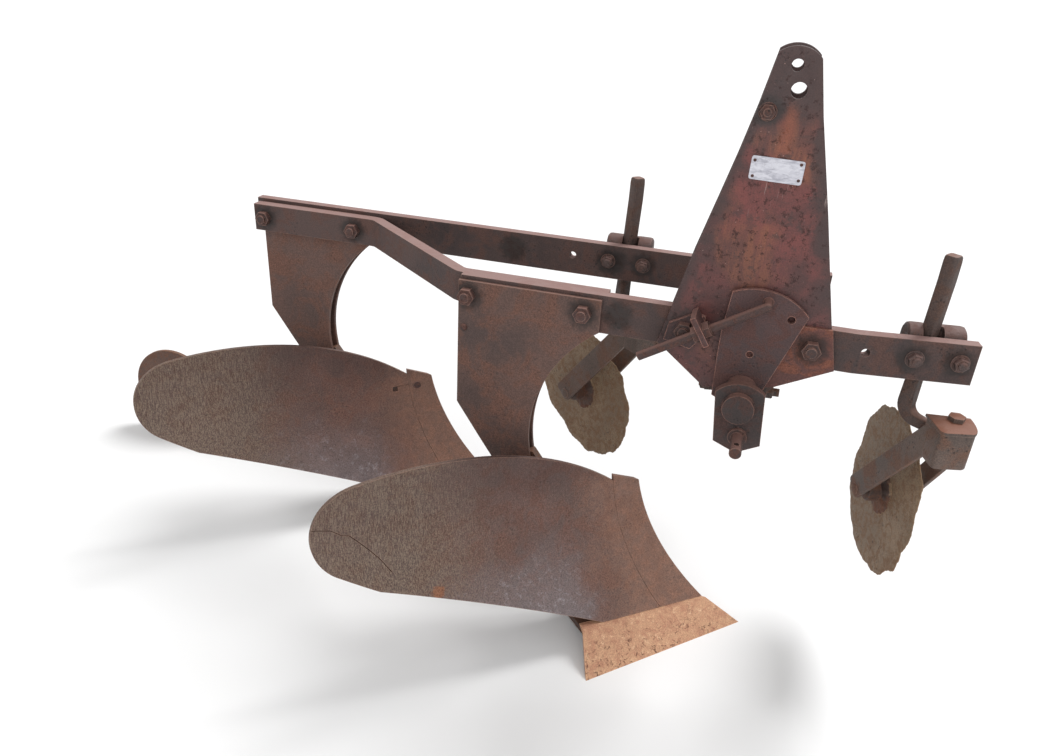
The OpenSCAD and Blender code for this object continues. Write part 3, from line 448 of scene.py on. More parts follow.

# Colours as a paint chip shows them, for the body, its darker parts, the rust, and the dust with a painted
# highlight on what looks up, and then what differs from plain rusted steel.
STEELS = {
    "foot_plate_paint": ((104, 60, 51), (76, 46, 42), (120, 74, 58), (150, 106, 90),
                         dict(spots=[(0.149, 0.764, 0.04)])),
    "sector_steel": ((74, 51, 50), (58, 43, 43), (86, 58, 53), (160, 120, 110),
                     dict(blotch=30.0, pits=0.6, wear=0.75, worn=(190, 136, 120))),
    "crank_steel": ((58, 43, 41), (46, 36, 35), (74, 51, 46), (150, 110, 98),
                    dict(blotch=34.0, worn=(170, 122, 106))),
    "beam_steel": ((72, 54, 50), (54, 42, 41), (90, 65, 58), (158, 126, 120),
                   dict(blotch=22.0, dust_and_highlight_share=0.75, spots=CLAMP_PLACES + STANDARD_PLACES)),
    "standard_steel": ((88, 64, 56), (68, 52, 48), (106, 74, 62), (170, 132, 120),
                       dict(blotch=14.0, spots=STANDARD_PLACES, pits=0.5)),
    "disc_rust": ((130, 108, 84), (110, 91, 71), (114, 86, 64), (170, 140, 110),
                  dict(blotch=60.0, metallic=0.05, worn=(186, 154, 120))),
    "clamp_iron": ((74, 58, 55), (58, 47, 45), (94, 68, 60), (126, 96, 90),
                   dict(blotch=40.0, bump=0.0008, dust_and_highlight_share=0.5, worn=(146, 114, 104))),
    "frog_iron": ((74, 56, 49), (56, 44, 40), (104, 68, 50), (140, 100, 78), dict(blotch=24.0, bump=0.0010)),
    "head_iron": ((94, 78, 70), (76, 64, 58), (106, 76, 62), (128, 82, 63),
                  dict(blotch=18.0, dust_and_highlight_share=0.85, worn=(176, 146, 130))),
    "shank_steel": ((76, 61, 56), (60, 50, 47), (90, 67, 57), (150, 116, 104), dict(blotch=30.0, dust_and_highlight_share=0.6)),
    "bolt_steel": ((70, 50, 47), (54, 41, 39), (90, 61, 53), (150, 112, 102),
                   dict(blotch=70.0, metallic=0.25, dust_and_highlight_share=0.55, worn=(176, 138, 124))),
    "wheel_rust": ((84, 58, 46), (66, 47, 39), (98, 66, 50), (140, 104, 82),
                   dict(blotch=50.0, metallic=0.05, worn=(160, 120, 96))),
}

FINISHES = {
    "mast_paint": mast_paint(),
    "front_board": board_finish("front_board", ORIGIN, [(0.506, 0.216, 0.015)]),
    "rear_board": board_finish("rear_board", (ORIGIN[0] - BOTTOM_STEP, ORIGIN[1] + FURROW_WIDTH)),
    "share_rust": share_finish(),
    "bare_plate": bare_plate_finish(),
}
for name, (body, dark, rust, dust_and_highlight, differs) in STEELS.items():
    FINISHES[name] = rusted_steel(name, body, dark, rust, dust_and_highlight, **differs)


# What a solid's name says of its finish: the first pattern that fits decides.
FINISH_BY_NAME = [
    (r"^mast_plate", "mast_paint"), (r"^mast_foot_plate$", "foot_plate_paint"),
    (r"^(sector_plate|rod_bracket)$", "sector_steel"), (r"crank", "crank_steel"), (r"_share$", "share_rust"),
    (r"^rear.*_(moldboard|shin|landside)$", "rear_board"), (r"_(moldboard|shin|landside)$", "front_board"),
    (r"^tail_wheel$", "wheel_rust"), (r"_disc$", "disc_rust"), (r"_clamp$", "clamp_iron"),
    (r"_frog$|^shaft_(bearing|hanger)$", "frog_iron"), (r"_(yoke|pivot_bolt)$", "head_iron"),
    (r"_(axle|shank)$|^tail_wheel_arm$", "shank_steel"),
    (r"bolt|pin|rod|^(cross_shaft|mast_spacers)$", "bolt_steel"), (r"standard", "standard_steel"),
    (r"", "beam_steel"),
]


def finish_for(node):
    return next(finish for pattern, finish in FINISH_BY_NAME if re.search(pattern, node))


for name, solid in nodes.items():
    solid.data.materials.clear()
    solid.data.materials.append(FINISHES[finish_for(name)])


def add_piece(name, mesh, finish, body):
    """An object for a mesh, with its finish, that rides on a body."""
    piece = bpy.data.objects.new(name, mesh)
    bpy.context.scene.collection.objects.link(piece)
    mesh.materials.clear()
    mesh.materials.append(FINISHES[finish])
    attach(piece, body)
    return piece


UP = Vector((0.0, 0.0, 1.0))
NEAR = Vector((0.0, -1.0, 0.0))
UPRIGHT = Matrix(((1, 0, 0, 0), (0, 0, -1, 0), (0, 1, 0, 0), (0, 0, 0, 1)))  # stands an x-y outline up in x-z
HOLE_STEPS = 48


def at_origin(x=0.0, y=0.0, z=0.0):
    """Moves a shape drawn in the measures of ORIGIN to its place in the frame."""
    return Matrix.Translation((ORIGIN[0] + x, ORIGIN[1] + y, z))


def heading(angle):
    """The level direction at an angle from +X, in degrees."""
    return Vector((math.cos(math.radians(angle)), math.sin(math.radians(angle)), 0.0))


def arc(centre, radius, start, end, steps):
    """Points on an arc in its plane, with angles in degrees."""
    angles = [math.radians(start + (end - start) * k / steps) for k in range(steps + 1)]
    return [(centre[0] + radius * math.cos(a), centre[1] + radius * math.sin(a)) for a in angles]


def lathe(bm, centre, axis, outline, turns=40):
    """Turns an outline of (radius, height) pairs round an axis through centre."""
    axis = Vector(axis).normalized()
    side = axis.orthogonal().normalized()
    across = axis.cross(side)
    rings = []
    for radius, height in outline:
        middle = Vector(centre) + axis * height
        if radius == 0.0:
            rings.append([bm.verts.new(middle)])
            continue
        rings.append([bm.verts.new(middle + (side * math.cos(a) + across * math.sin(a)) * radius)
                      for a in (2.0 * math.pi * k / turns for k in range(turns))])
    for inner, outer in zip(rings, rings[1:]):
        for k in range(turns):
            after = (k + 1) % turns
            corners = [inner[k % len(inner)], inner[after % len(inner)],
                       outer[after % len(outer)], outer[k % len(outer)]]
            bm.faces.new(list(dict.fromkeys(corners)))


def add_hex(bm, centre, axis, radius, height):
    """A hexagon nut with rounded-off corners on its outer face."""
    outline = [(0.0, 0.0), (radius, 0.0), (radius, height * 0.82), (radius * 0.86, height), (0.0, height)]
    lathe(bm, centre, axis, outline, turns=6)


def loft(bm, rings, capped=True):
    """Joins closed rings of as many points each, into a solid where their ends are capped."""
    made = [[bm.verts.new(p) for p in ring] for ring in rings]
    count = len(made[0])
    for one, two in zip(made, made[1:]):
        for k in range(count):
            after = (k + 1) % count
            bm.faces.new((one[k], one[after], two[after], two[k]))
    if capped:
        bm.faces.new(list(reversed(made[0])))
        bm.faces.new(made[-1])


def add_slab(bm, outline, holes, thick, soft, place):
    """Adds a flat plate with round holes and softened edges: drawn in x-y, thick along z, then moved by place."""
    curve = bpy.data.curves.new("slab", "CURVE")
    curve.dimensions = "2D"
    curve.fill_mode = "BOTH"
    curve.extrude = thick / 2 - soft
    curve.bevel_depth = soft
    curve.bevel_resolution = 2
    curve.offset = -soft
    rings = [outline]
    for x, y, radius in holes:
        angles = [-2.0 * math.pi * k / HOLE_STEPS for k in range(HOLE_STEPS)]
        rings.append([(x + radius * math.cos(a), y + radius * math.sin(a)) for a in angles])
    for ring in rings:
        spline = curve.splines.new("POLY")
        spline.points.add(len(ring) - 1)
        for point, (x, y) in zip(spline.points, ring):
            point.co = (x, y, 0.0, 1.0)
        spline.use_cyclic_u = True
    thing = bpy.data.objects.new("slab", curve)
    bpy.context.scene.collection.objects.link(thing)
    bpy.context.view_layer.update()
    mesh = bpy.data.meshes.new_from_object(thing.evaluated_get(bpy.context.evaluated_depsgraph_get()))
    mesh.transform(place)
    bm.from_mesh(mesh)
    bpy.data.objects.remove(thing)
    bpy.data.curves.remove(curve)
    bpy.data.meshes.remove(mesh)


def finished_mesh(name, bm, smooth=40.0):
    """The mesh of bm with doubles merged, normals outward and smooth shading up to an angle."""
    bmesh.ops.remove_doubles(bm, verts=bm.verts, dist=0.00001)
    bmesh.ops.recalc_face_normals(bm, faces=bm.faces)
    mesh = bpy.data.meshes.new(name)
    bm.to_mesh(mesh)
    bm.free()
    for face in mesh.polygons:
        face.use_smooth = True
    mesh.set_sharp_from_angle(angle=math.radians(smooth))
    return mesh


def add_turned(name, places, outline, finish="bolt_steel"):
    """A small fastener of the frame: the same turned outline at each (centre, axis) of places."""
    bm = bmesh.new()
    for centre, axis in places:
        lathe(bm, centre, axis, outline)
    return add_piece(name, finished_mesh(name, bm), finish, "frame")


# The identification plate: its limits in x and z, and how it is clipped, dented and turned.
PLATE_BOX = (ORIGIN[0] - 0.0095, ORIGIN[0] + 0.0765, 1.0480, 1.0870)
PLATE_THICK = 0.0012
PLATE_CLIP, PLATE_DENT, PLATE_LIFT = 0.00105, 0.00025, 0.00005
PLATE_TILT = math.radians(-1.5)


def id_plate_mesh():
    """A thin plate with clipped corners, dented a little, flat on the mast's near face."""
    x0, x1, z0, z1 = PLATE_BOX
    across, down = 24, 10
    bm = bmesh.new()

    def corner(i, j):
        u, v = i / across, j / down
        x, z = x0 + (x1 - x0) * u, z0 + (z1 - z0) * v
        if (u in (0.0, 1.0)) and (v in (0.0, 1.0)):
            x += PLATE_CLIP if u == 0.0 else -PLATE_CLIP
            z += PLATE_CLIP if v == 0.0 else -PLATE_CLIP
        cx, cz = (x0 + x1) / 2, (z0 + z1) / 2
        dx, dz = x - cx, z - cz
        return (cx + dx * math.cos(PLATE_TILT) - dz * math.sin(PLATE_TILT),
                cz + dx * math.sin(PLATE_TILT) + dz * math.cos(PLATE_TILT))

    front, back = {}, {}
    for i in range(across + 1):
        for j in range(down + 1):
            x, z = corner(i, j)
            wave = PLATE_DENT * math.sin(9.0 * i / across) * math.sin(7.0 * j / down)
            front[i, j] = bm.verts.new((x, MAST_FACE_Y - PLATE_THICK - wave, z))
            back[i, j] = bm.verts.new((x, MAST_FACE_Y - PLATE_LIFT, z))
    for i in range(across):
        for j in range(down):
            bm.faces.new((front[i, j], front[i + 1, j], front[i + 1, j + 1], front[i, j + 1]))
            bm.faces.new((back[i, j], back[i, j + 1], back[i + 1, j + 1], back[i + 1, j]))
    rim = [(i, 0) for i in range(across)] + [(across, j) for j in range(down)]
    rim += [(i, down) for i in range(across, 0, -1)] + [(0, j) for j in range(down, 0, -1)]
    for k, here in enumerate(rim):
        after = rim[(k + 1) % len(rim)]
        bm.faces.new((front[here], back[here], back[after], front[after]))
    bmesh.ops.recalc_face_normals(bm, faces=bm.faces)
    mesh = bpy.data.meshes.new("id_plate")
    bm.to_mesh(mesh)
    bm.free()
    return mesh


add_piece("id_plate", id_plate_mesh(), "bare_plate", "frame")

FRONT_SHIFT = Vector((ORIGIN[0], ORIGIN[1], 0.0))
REAR_SHIFT = Vector((ORIGIN[0] - BOTTOM_STEP, ORIGIN[1] + FURROW_WIDTH, 0.0))


def board_point(along, up, shift=REAR_SHIFT):
    """A place on a board's hollow face and the way that it looks; the rear board's unless told."""
    depth = math.sqrt(BOARD_RADIUS ** 2 - (up - BOARD_AXIS[1]) ** 2)
    turn = math.radians(180.0 + EDGE_ANGLE)
    out = Vector((0.0, depth, BOARD_AXIS[1] - up)) / BOARD_RADIUS
    local = Vector((along, BOARD_AXIS[0] - depth, up))
    spin = Matrix.Rotation(turn, 3, "Z")
    return spin @ local + shift, spin @ out


# Outlines of small fasteners, as (radius, height) pairs from the face that carries them.
DOME = [(0.0026, -0.0004), (0.0026, 0.0004), (0.0020, 0.0011), (0.0011, 0.0015), (0.0, 0.0016)]
WASHER = [(0.0105, 0.0001), (0.0105, 0.0018), (0.0143, 0.0018), (0.0150, 0.0012), (0.0150, 0.0001),
          (0.0105, 0.0001)]
BUTTON = [(0.0075, -0.0005), (0.0075, 0.0012), (0.0062, 0.0034), (0.0035, 0.0046), (0.0, 0.0049)]
FLUSH = [(0.0108, -0.0010), (0.0106, 0.0005), (0.0098, 0.0010), (0.0093, 0.0004), (0.0040, 0.0009), (0.0, 0.0009)]
SHEARED = [(0.0104, -0.0060), (0.0104, -0.0034), (0.0080, -0.0028), (0.0052, -0.0040), (0.0026, -0.0033),
           (0.0, -0.0036)]

RIVET_INSET_X, RIVET_INSET_Z = 0.0058, 0.0065
STANDARD_RIVET = at_origin(-0.507, -0.0079, 0.693).translation
BOARD_BOLT_ALONG, SHEARED_BOLT_ALONG, BOARD_BOLTS_UP = 0.058, 0.119, 0.314

rivet_places = [((x, MAST_FACE_Y - PLATE_THICK, z), NEAR)
                for x in (PLATE_BOX[0] + RIVET_INSET_X, PLATE_BOX[1] - RIVET_INSET_X)
                for z in (PLATE_BOX[2] + RIVET_INSET_Z, PLATE_BOX[3] - RIVET_INSET_Z)]
add_turned("plate_rivets", rivet_places, DOME)
add_turned("tie_washer", [((ORIGIN[0] + TIE_BOLT[0], MAST_FACE_Y, TIE_BOLT[1]), NEAR)], WASHER)
add_turned("standard_rivet", [(STANDARD_RIVET, NEAR)], BUTTON)
add_turned("board_bolt", [board_point(BOARD_BOLT_ALONG, BOARD_BOLTS_UP)], FLUSH)
add_turned("sheared_bolt", [board_point(SHEARED_BOLT_ALONG, BOARD_BOLTS_UP)], SHEARED, "frog_iron")


# The mast's plates, drawn again: they run in to a narrow eye and flare a little toward the foot.
# Outlines are (x, z) in the measures of ORIGIN, and holes have their radius too.
MAST_EDGE_LEFT = [(-0.0140, 1.1600), (-0.0340, 1.0784), (-0.0540, 1.0040), (-0.0830, 0.8980), (-0.1230, 0.7290)]
MAST_EDGE_RIGHT = [(0.1945, 0.7290), (0.1700, 0.8305), (0.1290, 1.0027), (0.0895, 1.1590)]
MAST_FOOT = [(-0.0260, 0.6520), (0.0980, 0.6780)]
MAST_EYE, MAST_EYE_RADIUS = (0.0350, 1.2105), 0.0490
MAST_HOLES = [(0.036, 1.231, 0.0097), (0.045, 1.194, 0.01285), TIE_BOLT + (0.0066,)]
MAST_THICK, MAST_SOFT = 0.0095, 0.0007
MAST_PLATES = {"mast_plate_right": -0.00475, "mast_plate_left": 0.05705}  # the y of each plate's middle


def mast_plate_mesh(name, y_middle):
    """One plate of the mast, upright, with the holes of its eye."""
    top = arc(MAST_EYE, MAST_EYE_RADIUS, 42.0, 128.0, 20)
    outline = MAST_FOOT + MAST_EDGE_RIGHT + top + MAST_EDGE_LEFT
    bm = bmesh.new()
    add_slab(bm, outline, MAST_HOLES, MAST_THICK, MAST_SOFT, at_origin(y=y_middle) @ UPRIGHT)
    return finished_mesh(name, bm)


for node, y_middle in MAST_PLATES.items():
    plate = add_piece("drawn_" + node, mast_plate_mesh(node, y_middle), "mast_paint", "frame")
    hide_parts(node)


# The coulters' bars, drawn again: each comes straight down, bends round under the beam and ends in
# the wall of its eye, clear of the bore that the pivot bolt passes through.
BAR_SIDE, BAR_CORNER = 0.0254, 0.0055
BAR_TOP, BAR_LOW, BEND = 0.945, 0.634, 0.028  # heights of its top and its level end, and the bend's radius
BAR_MIDDLES = (0.90, 0.80, 0.72)
BAR_LEAN_FROM, BAR_LEAN = 0.90, -0.03  # below this height it leans back by this share
BEND_STEPS = 8
HEAD_REACH, HEAD_Z = 0.093, 0.631  # the pivot, from the bar's foot, and the head's middle height
BAR_END = HEAD_REACH - 0.0150
EYE_BORE, EYE_RADIUS, EYE_TALL, EYE_SOFT, EYE_DROP = 0.0096, 0.0192, 0.053, 0.0012, 0.025


def bar_profile(scale, turn):
    """The bar's square section with rounded corners, turned by an angle in degrees."""
    half, r = BAR_SIDE / 2 * scale, BAR_CORNER * scale
    points = []
    for k, (sx, sy) in enumerate(((1, 1), (-1, 1), (-1, -1), (1, -1))):
        points += arc((sx * (half - r), sy * (half - r)), r, 90 * k, 90 * k + 90, 5)
    c, s = math.cos(math.radians(turn)), math.sin(math.radians(turn))
    return [(x * c - y * s, x * s + y * c) for x, y in points]


def shank_mesh(name, foot, turn, square_turn):
    """The bar from its battered top down past the beam and round to its eye."""
    path = [((0.0, BAR_TOP - down), 90.0, scale) for down, scale in ((0.0, 0.82), (0.003, 0.95), (0.012, 1.0))]
    path += [((0.0, z), 90.0, 1.0) for z in BAR_MIDDLES]
    for k in range(BEND_STEPS + 1):
        share = k / BEND_STEPS
        a = math.radians(90.0 * share)
        spot = (BEND - BEND * math.cos(a), BAR_LOW + BEND - BEND * math.sin(a))
        path.append((spot, 90.0 - 90.0 * share, 1.07 - 0.17 * share))
    path += [((0.045, BAR_LOW), 0.0, 0.84), ((BAR_END, BAR_LOW), 0.0, 0.80)]
    along = heading(turn)
    aside = Vector((-along.y, along.x, 0.0))
    bm = bmesh.new()
    rings = []
    for (u, z), lean, scale in path:
        face = along * math.sin(math.radians(lean)) + UP * math.cos(math.radians(lean))
        lean_back = BAR_LEAN * max(0.0, BAR_LEAN_FROM - z) * max(0.0, 1.0 - u / HEAD_REACH)
        middle = at_origin(foot[0] + lean_back, foot[1], z).translation + along * u
        rings.append([middle + face * p + aside * q for p, q in bar_profile(scale, square_turn)])
    loft(bm, rings)
    eye = at_origin(foot[0], foot[1], HEAD_Z - EYE_DROP).translation + along * HEAD_REACH
    rounded, top = EYE_RADIUS - EYE_SOFT, EYE_TALL - EYE_SOFT
    lathe(bm, eye, UP, [(EYE_BORE, 0.0), (rounded, 0.0), (EYE_RADIUS, EYE_SOFT), (EYE_RADIUS, top),
                        (rounded, EYE_TALL), (EYE_BORE, EYE_TALL), (EYE_BORE, 0.0)])
    return finished_mesh(name, bm)


# The clamps, drawn again, each in its own measures: x along the beam and y behind its far face.
CLAMP_HALF, CLAMP_DEEP = 0.051, 0.052
CLAMP_FOOT, CLAMP_AXIS = 0.728, 0.788  # heights of its lower face and of its rounded back's axis
CLAMP_ENDS = ((0.0, 0.80), (0.003, 0.96), (0.008, 1.0))  # how its ends round off: inset and scale
GROOVE = 0.0183  # half the width and half the depth of its V
CLAMP_BOLT_X, CLAMP_BOLT_Z, NUT_FACE_Y = 0.039, 0.7639, -0.0222
CLAMP_NUT = 0.0135
CLAMP_WASHER = [(0.0, 0.0), (0.0165, 0.0), (0.0165, 0.0016), (0.0, 0.0016)]
CLAMP_BOLT_END = [(0.0, 0.0), (0.0080, 0.0), (0.0080, 0.0162), (0.0062, 0.0178), (0.0, 0.0182)]
CLAMP_BOLT_SHANK = [(0.0, 0.0), (0.0078, 0.0), (0.0078, 0.0740), (0.0, 0.0740)]


def clamp_mesh(name, place, off):
    """The clamp behind a beam with its V groove for the bar, its bolts through the beam and their nuts."""
    r = CLAMP_DEEP / 2
    stations = [(inset - CLAMP_HALF, 0.0, scale) for inset, scale in CLAMP_ENDS]
    stations += [(off - GROOVE, 0.0, 1.0), (off - GROOVE, GROOVE, 1.0), (off, 2 * GROOVE, 1.0),
                 (off + GROOVE, GROOVE, 1.0), (off + GROOVE, 0.0, 1.0)]
    stations += [(CLAMP_HALF - inset, 0.0, scale) for inset, scale in reversed(CLAMP_ENDS)]
    bm = bmesh.new()
    rings = []
    for x, front, scale in stations:
        low, back = max(front, 0.0002), CLAMP_DEEP * (0.5 + 0.5 * scale)
        rr = r * scale
        end = math.degrees(math.acos(max(-1.0, min(1.0, (low - r) / rr))))
        ring = [(low, CLAMP_FOOT), (back, CLAMP_FOOT), (r + rr, CLAMP_AXIS)]
        ring += arc((r, CLAMP_AXIS), rr, 3.0, end, 16)
        rings.append([place @ Vector((x, y, z)) for y, z in ring])
    loft(bm, rings)
    near_way = place.to_3x3() @ NEAR
    for x in (-CLAMP_BOLT_X, CLAMP_BOLT_X):
        near = place @ Vector((x, NUT_FACE_Y, CLAMP_BOLT_Z))
        far = place @ Vector((x, CLAMP_DEEP - 0.001, CLAMP_BOLT_Z))
        lathe(bm, near, near_way, CLAMP_WASHER)
        add_hex(bm, near + near_way * 0.0014, near_way, CLAMP_NUT, 0.0110)
        lathe(bm, near, near_way, CLAMP_BOLT_END)
        add_hex(bm, far, -near_way, CLAMP_NUT, 0.0100)
        lathe(bm, near, -near_way, CLAMP_BOLT_SHANK)
    return finished_mesh(name, bm, 30.0)


# The heads, drawn again, each in its own measures: its pivot at x = y = 0 and its disc toward +x.
HEAD_LEFT, HEAD_FRONT, HEAD_CORNER = 0.044, 0.0475, 0.011
HEAD_TALL, STRAP, STRAP_SOFT, CAP_SOFT = 0.071, 0.008, 0.0014, 0.0012
CAP_LAP, CAP_THICK, LIP_THICK, PIVOT_HOLE = 0.0015, 0.006, 0.008, 0.0098
AXLE_BACK, AXLE_Z, AXLE_SPREAD = 0.178, 0.397, 0.0540
ARM_LIFT = 0.012  # the arm's middle line passes this far above the axle
AXLE_CAP = [(0.0112, -0.0005), (0.0112, 0.0012), (0.0090, 0.0030), (0.0045, 0.0040), (0.0, 0.0042)]


def nose_ring(left_half, right_half, front, corner, back):
    """Half of the head's plan: a rounded end in front of the pivot, open toward the disc."""
    left = arc((corner - front, left_half - corner), corner, 90.0, 180.0, 8)
    start, end = (-front, 0.004 - 0.4 * right_half), (0.002, -right_half)
    bend = (0.002 - front, -0.85 * right_half)
    right = [tuple((1 - t) ** 2 * p + 2 * t * (1 - t) * q + t * t * r for p, q, r in zip(start, bend, end))
             for t in (k / 10 for k in range(11))]
    return [(back, left_half)] + left + right + [(min(back, 0.010), -right_half)]


def head_mesh(name, pivot, turn, right_half):
    """The bent strap round the pivot with its cap and lip, and the two arms down to the disc."""
    place = at_origin(pivot[0], pivot[1]) @ Matrix.Rotation(math.radians(turn), 4, "Z")
    bm = bmesh.new()
    outer = nose_ring(HEAD_LEFT, right_half, HEAD_FRONT, HEAD_CORNER, 0.014)
    inner = nose_ring(HEAD_LEFT - STRAP, right_half - STRAP, HEAD_FRONT - STRAP, HEAD_CORNER - STRAP, 0.014)
    cap = nose_ring(HEAD_LEFT + CAP_LAP, right_half + 0.0010, HEAD_FRONT + CAP_LAP, HEAD_CORNER, 0.020)
    middle_z = Matrix.Translation((0, 0, HEAD_Z))
    add_slab(bm, outer + list(reversed(inner)), [], HEAD_TALL, STRAP_SOFT, place @ middle_z)
    for ring, z, thick in ((cap, HEAD_Z + HEAD_TALL / 2 + 0.0005, CAP_THICK),
                           (inner, HEAD_Z - HEAD_TALL / 2 + 0.005, LIP_THICK)):
        add_slab(bm, ring, [(0.0, 0.0, PIVOT_HOLE)], thick, CAP_SOFT, place @ Matrix.Translation((0, 0, z)))
    lean = math.atan2(HEAD_Z - AXLE_Z - ARM_LIFT, AXLE_BACK)
    sin, cos = math.sin(lean), math.cos(lean)

    def on_arm(along, up):
        return (AXLE_BACK + along * cos + up * sin, AXLE_Z + ARM_LIFT - along * sin + up * cos)

    arm = [(-0.004, HEAD_Z + 0.0240), (-0.004, HEAD_Z - 0.0350)]
    arm += [on_arm(along, up) for along, up in ((0.012, -0.0255), (0.018, -0.0225), (0.0215, -0.0165),
                                                (0.0235, 0.0165), (0.0210, 0.0215), (0.0150, 0.0240))]
    # How each arm's outline closes at its root: the right one, -1, is cut clear of the bar.
    roots = {1: [(0.010, HEAD_Z + 0.0240)],
             -1: [(0.038, HEAD_Z - 0.0115), (0.016, HEAD_Z - 0.0115), (0.006, HEAD_Z + 0.0240)]}
    for side, half in ((-1, right_half), (1, HEAD_LEFT)):
        middle = side * (half - STRAP / 2 + 0.0006)
        splay = Matrix.Rotation(math.atan2(side * (AXLE_SPREAD - abs(middle)), AXLE_BACK), 4, "Z")
        push = place @ Matrix.Translation((0, middle, 0)) @ splay
        add_slab(bm, arm + roots[side], [], STRAP, STRAP_SOFT, push @ UPRIGHT)
        out = push.to_3x3() @ Vector((0, side, 0))
        lathe(bm, push @ Vector((AXLE_BACK, side * STRAP / 2, AXLE_Z)), out, AXLE_CAP)
    return finished_mesh(name, bm)


# How far the front disc's worn rim still reaches, in millimetres, by the angle from its trailing
# side upward in degrees.
WORN_RIM = [(-175, 156), (-160, 151), (-151, 160), (-142, 170), (-130, 166), (-119, 178), (-107, 180), (-100, 176),
            (-94, 179), (-82, 180.5), (-70, 180), (-62, 173), (-55, 174), (-40, 166), (-31, 169), (-20, 157),
            (-4, 156), (4, 149), (11, 146), (22, 154), (34, 168), (47, 170), (59, 180), (68, 177), (76, 180),
            (88, 176), (99, 180.5), (111, 171), (121, 179), (132, 173), (143, 179), (149, 171), (157, 161),
            (166, 153), (175, 155), (185, 156)]
RIM_MOST = 180.8
DISC_STEPS = 240
HUB_PROFILE = [(0.0105, 0.0355), (0.0222, 0.0355), (0.0236, 0.0340), (0.0240, 0.0120)]
WEB_PROFILE = [(0.060, 0.0026), (0.085, 0.0026), (0.110, 0.0025)]
HUB_LOOK_RADIUS = 0.0495  # inside it the disc has the hub's finish


def rim_at(angle):
    """The worn rim's radius in metres at an angle in degrees, eased between the measured places."""
    first = WORN_RIM[0][0]
    angle = (angle - first) % 360.0 + first
    for (a, r), (b, q) in zip(WORN_RIM, WORN_RIM[1:]):
        if a <= angle <= b:
            break
    t = (angle - a) / (b - a)
    t = t * t * (3 - 2 * t)
    chips = 1.3 * math.sin(0.9 * angle) * math.sin(0.37 * angle + 1.0)
    return min(r + (q - r) * t + chips, RIM_MOST) / 1000


def disc_section(a, side, shift):
    """Half of the disc's section at an angle a round it, as (radius, height) from the bore to the rim."""
    rim = rim_at(math.degrees(a) + shift)
    flange = 0.046 + 0.0035 * math.sin(3 * a + 1.0) + 0.0022 * math.sin(7 * a + 2.0 * side)
    flange += 0.0012 * math.sin(17 * a)
    lump = 0.0011 * math.sin(9 * a + side) * math.sin(4 * a)
    crumbled = [(0.6 * flange, 0.0105 + lump), (flange - 0.004, 0.0092 + lump), (flange, 0.0068),
                (flange + 0.003, 0.0029)]
    worn = [(rim - 0.016, 0.0025), (rim - 0.005, 0.0021), (rim - 0.001, 0.0012), (rim, 0.0)]
    return HUB_PROFILE + crumbled + WEB_PROFILE + worn


def disc_mesh(name, middle, trail, shift):
    """A thin disc worn and bitten round its rim, with a crumbled flange and its hub on both sides."""
    trailing = heading(trail)
    axle = UP.cross(trailing)
    middle = at_origin(*middle).translation
    turns = [2.0 * math.pi * k / DISC_STEPS for k in range(DISC_STEPS)]
    rings = []
    for side in (1, -1):
        sections = [disc_section(a, side, shift) for a in turns]
        half = [[middle + (trailing * math.cos(a) + UP * math.sin(a)) * r + axle * (h * side)
                 for a, (r, h) in zip(turns, ring)] for ring in zip(*sections)]
        rings += half if side == 1 else list(reversed(half))[1:]
    bm = bmesh.new()
    loft(bm, rings + rings[:1], capped=False)
    mesh = finished_mesh(name, bm)
    for face in mesh.polygons:
        gap = face.center - middle
        gap -= axle * gap.dot(axle)
        face.material_index = 1 if gap.length < HUB_LOOK_RADIUS else 0
    return mesh


# Each coulter: its disc's centre, its bar's foot, and its pivot and clamp, in the measures of ORIGIN.
# Angles are in degrees from +X: turn of the bar's level end, square of its section, trail of the disc.
COULTERS = {
    "front": dict(disc=(0.36992, 0.16427, AXLE_Z), foot=(0.350507, 0.058588), turn=-45.5, square=8.6,
                  trail=104.9, pivot=(0.415691, -0.007744), right_half=0.0295, rim_shift=0.0,
                  clamp=at_origin(0.361, 0.041637) @ Matrix.Rotation(math.radians(8.1), 4, "Z"), off=-0.008),
    "rear": dict(disc=(-0.3237, 0.3840, AXLE_Z), foot=(-0.240, 0.345261), turn=-57.0, square=12.0,
                 trail=139.0, pivot=(-0.189349, 0.267264), right_half=0.042, rim_shift=72.0,
                 clamp=at_origin(-0.242, 0.327), off=0.002),
}

for which, c in COULTERS.items():
    bar_drawn = shank_mesh(which + "_bar", c["foot"], c["turn"], c["square"])
    bar = add_piece(which + "_bar", bar_drawn, "shank_steel", "frame")
    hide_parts(which + "_coulter_shank")
    clamp_drawn = clamp_mesh(which + "_clamp_iron", c["clamp"], c["off"])
    clamp = add_piece(which + "_clamp_iron", clamp_drawn, "clamp_iron", "frame")
    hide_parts(which + "_coulter_clamp")
    head_drawn = head_mesh(which + "_head", c["pivot"], c["trail"], c["right_half"])
    head = add_piece(which + "_head", head_drawn, "head_iron", which + "_coulter_swing")
    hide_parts(which + "_coulter_yoke")
    worn = disc_mesh(which + "_worn_disc", c["disc"], c["trail"], c["rim_shift"])
    picks = [face.material_index for face in worn.polygons]
    disc = add_piece(which + "_worn_disc", worn, "disc_rust", which + "_disc")
    worn.materials.append(FINISHES["frog_iron"])
    worn.polygons.foreach_set("material_index", picks)
    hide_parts(which + "_coulter_disc")


# The dark ribbon of painted shade that stands in the front board's crack, and in the rear board's beside
# its lost bolt, as places along and up the board's face.
FRONT_CRACK = [(0.737, 0.4135), (0.728, 0.411), (0.704, 0.404), (0.683, 0.387), (0.670, 0.383), (0.656, 0.367),
               (0.635, 0.342), (0.615, 0.316), (0.594, 0.2815)]
REAR_CRACK = [(0.064, 0.3202), (0.111, 0.3202)]
CRACK_HALF, CRACK_NEAR, CRACK_FAR = 0.0018, 0.0038, 0.0062


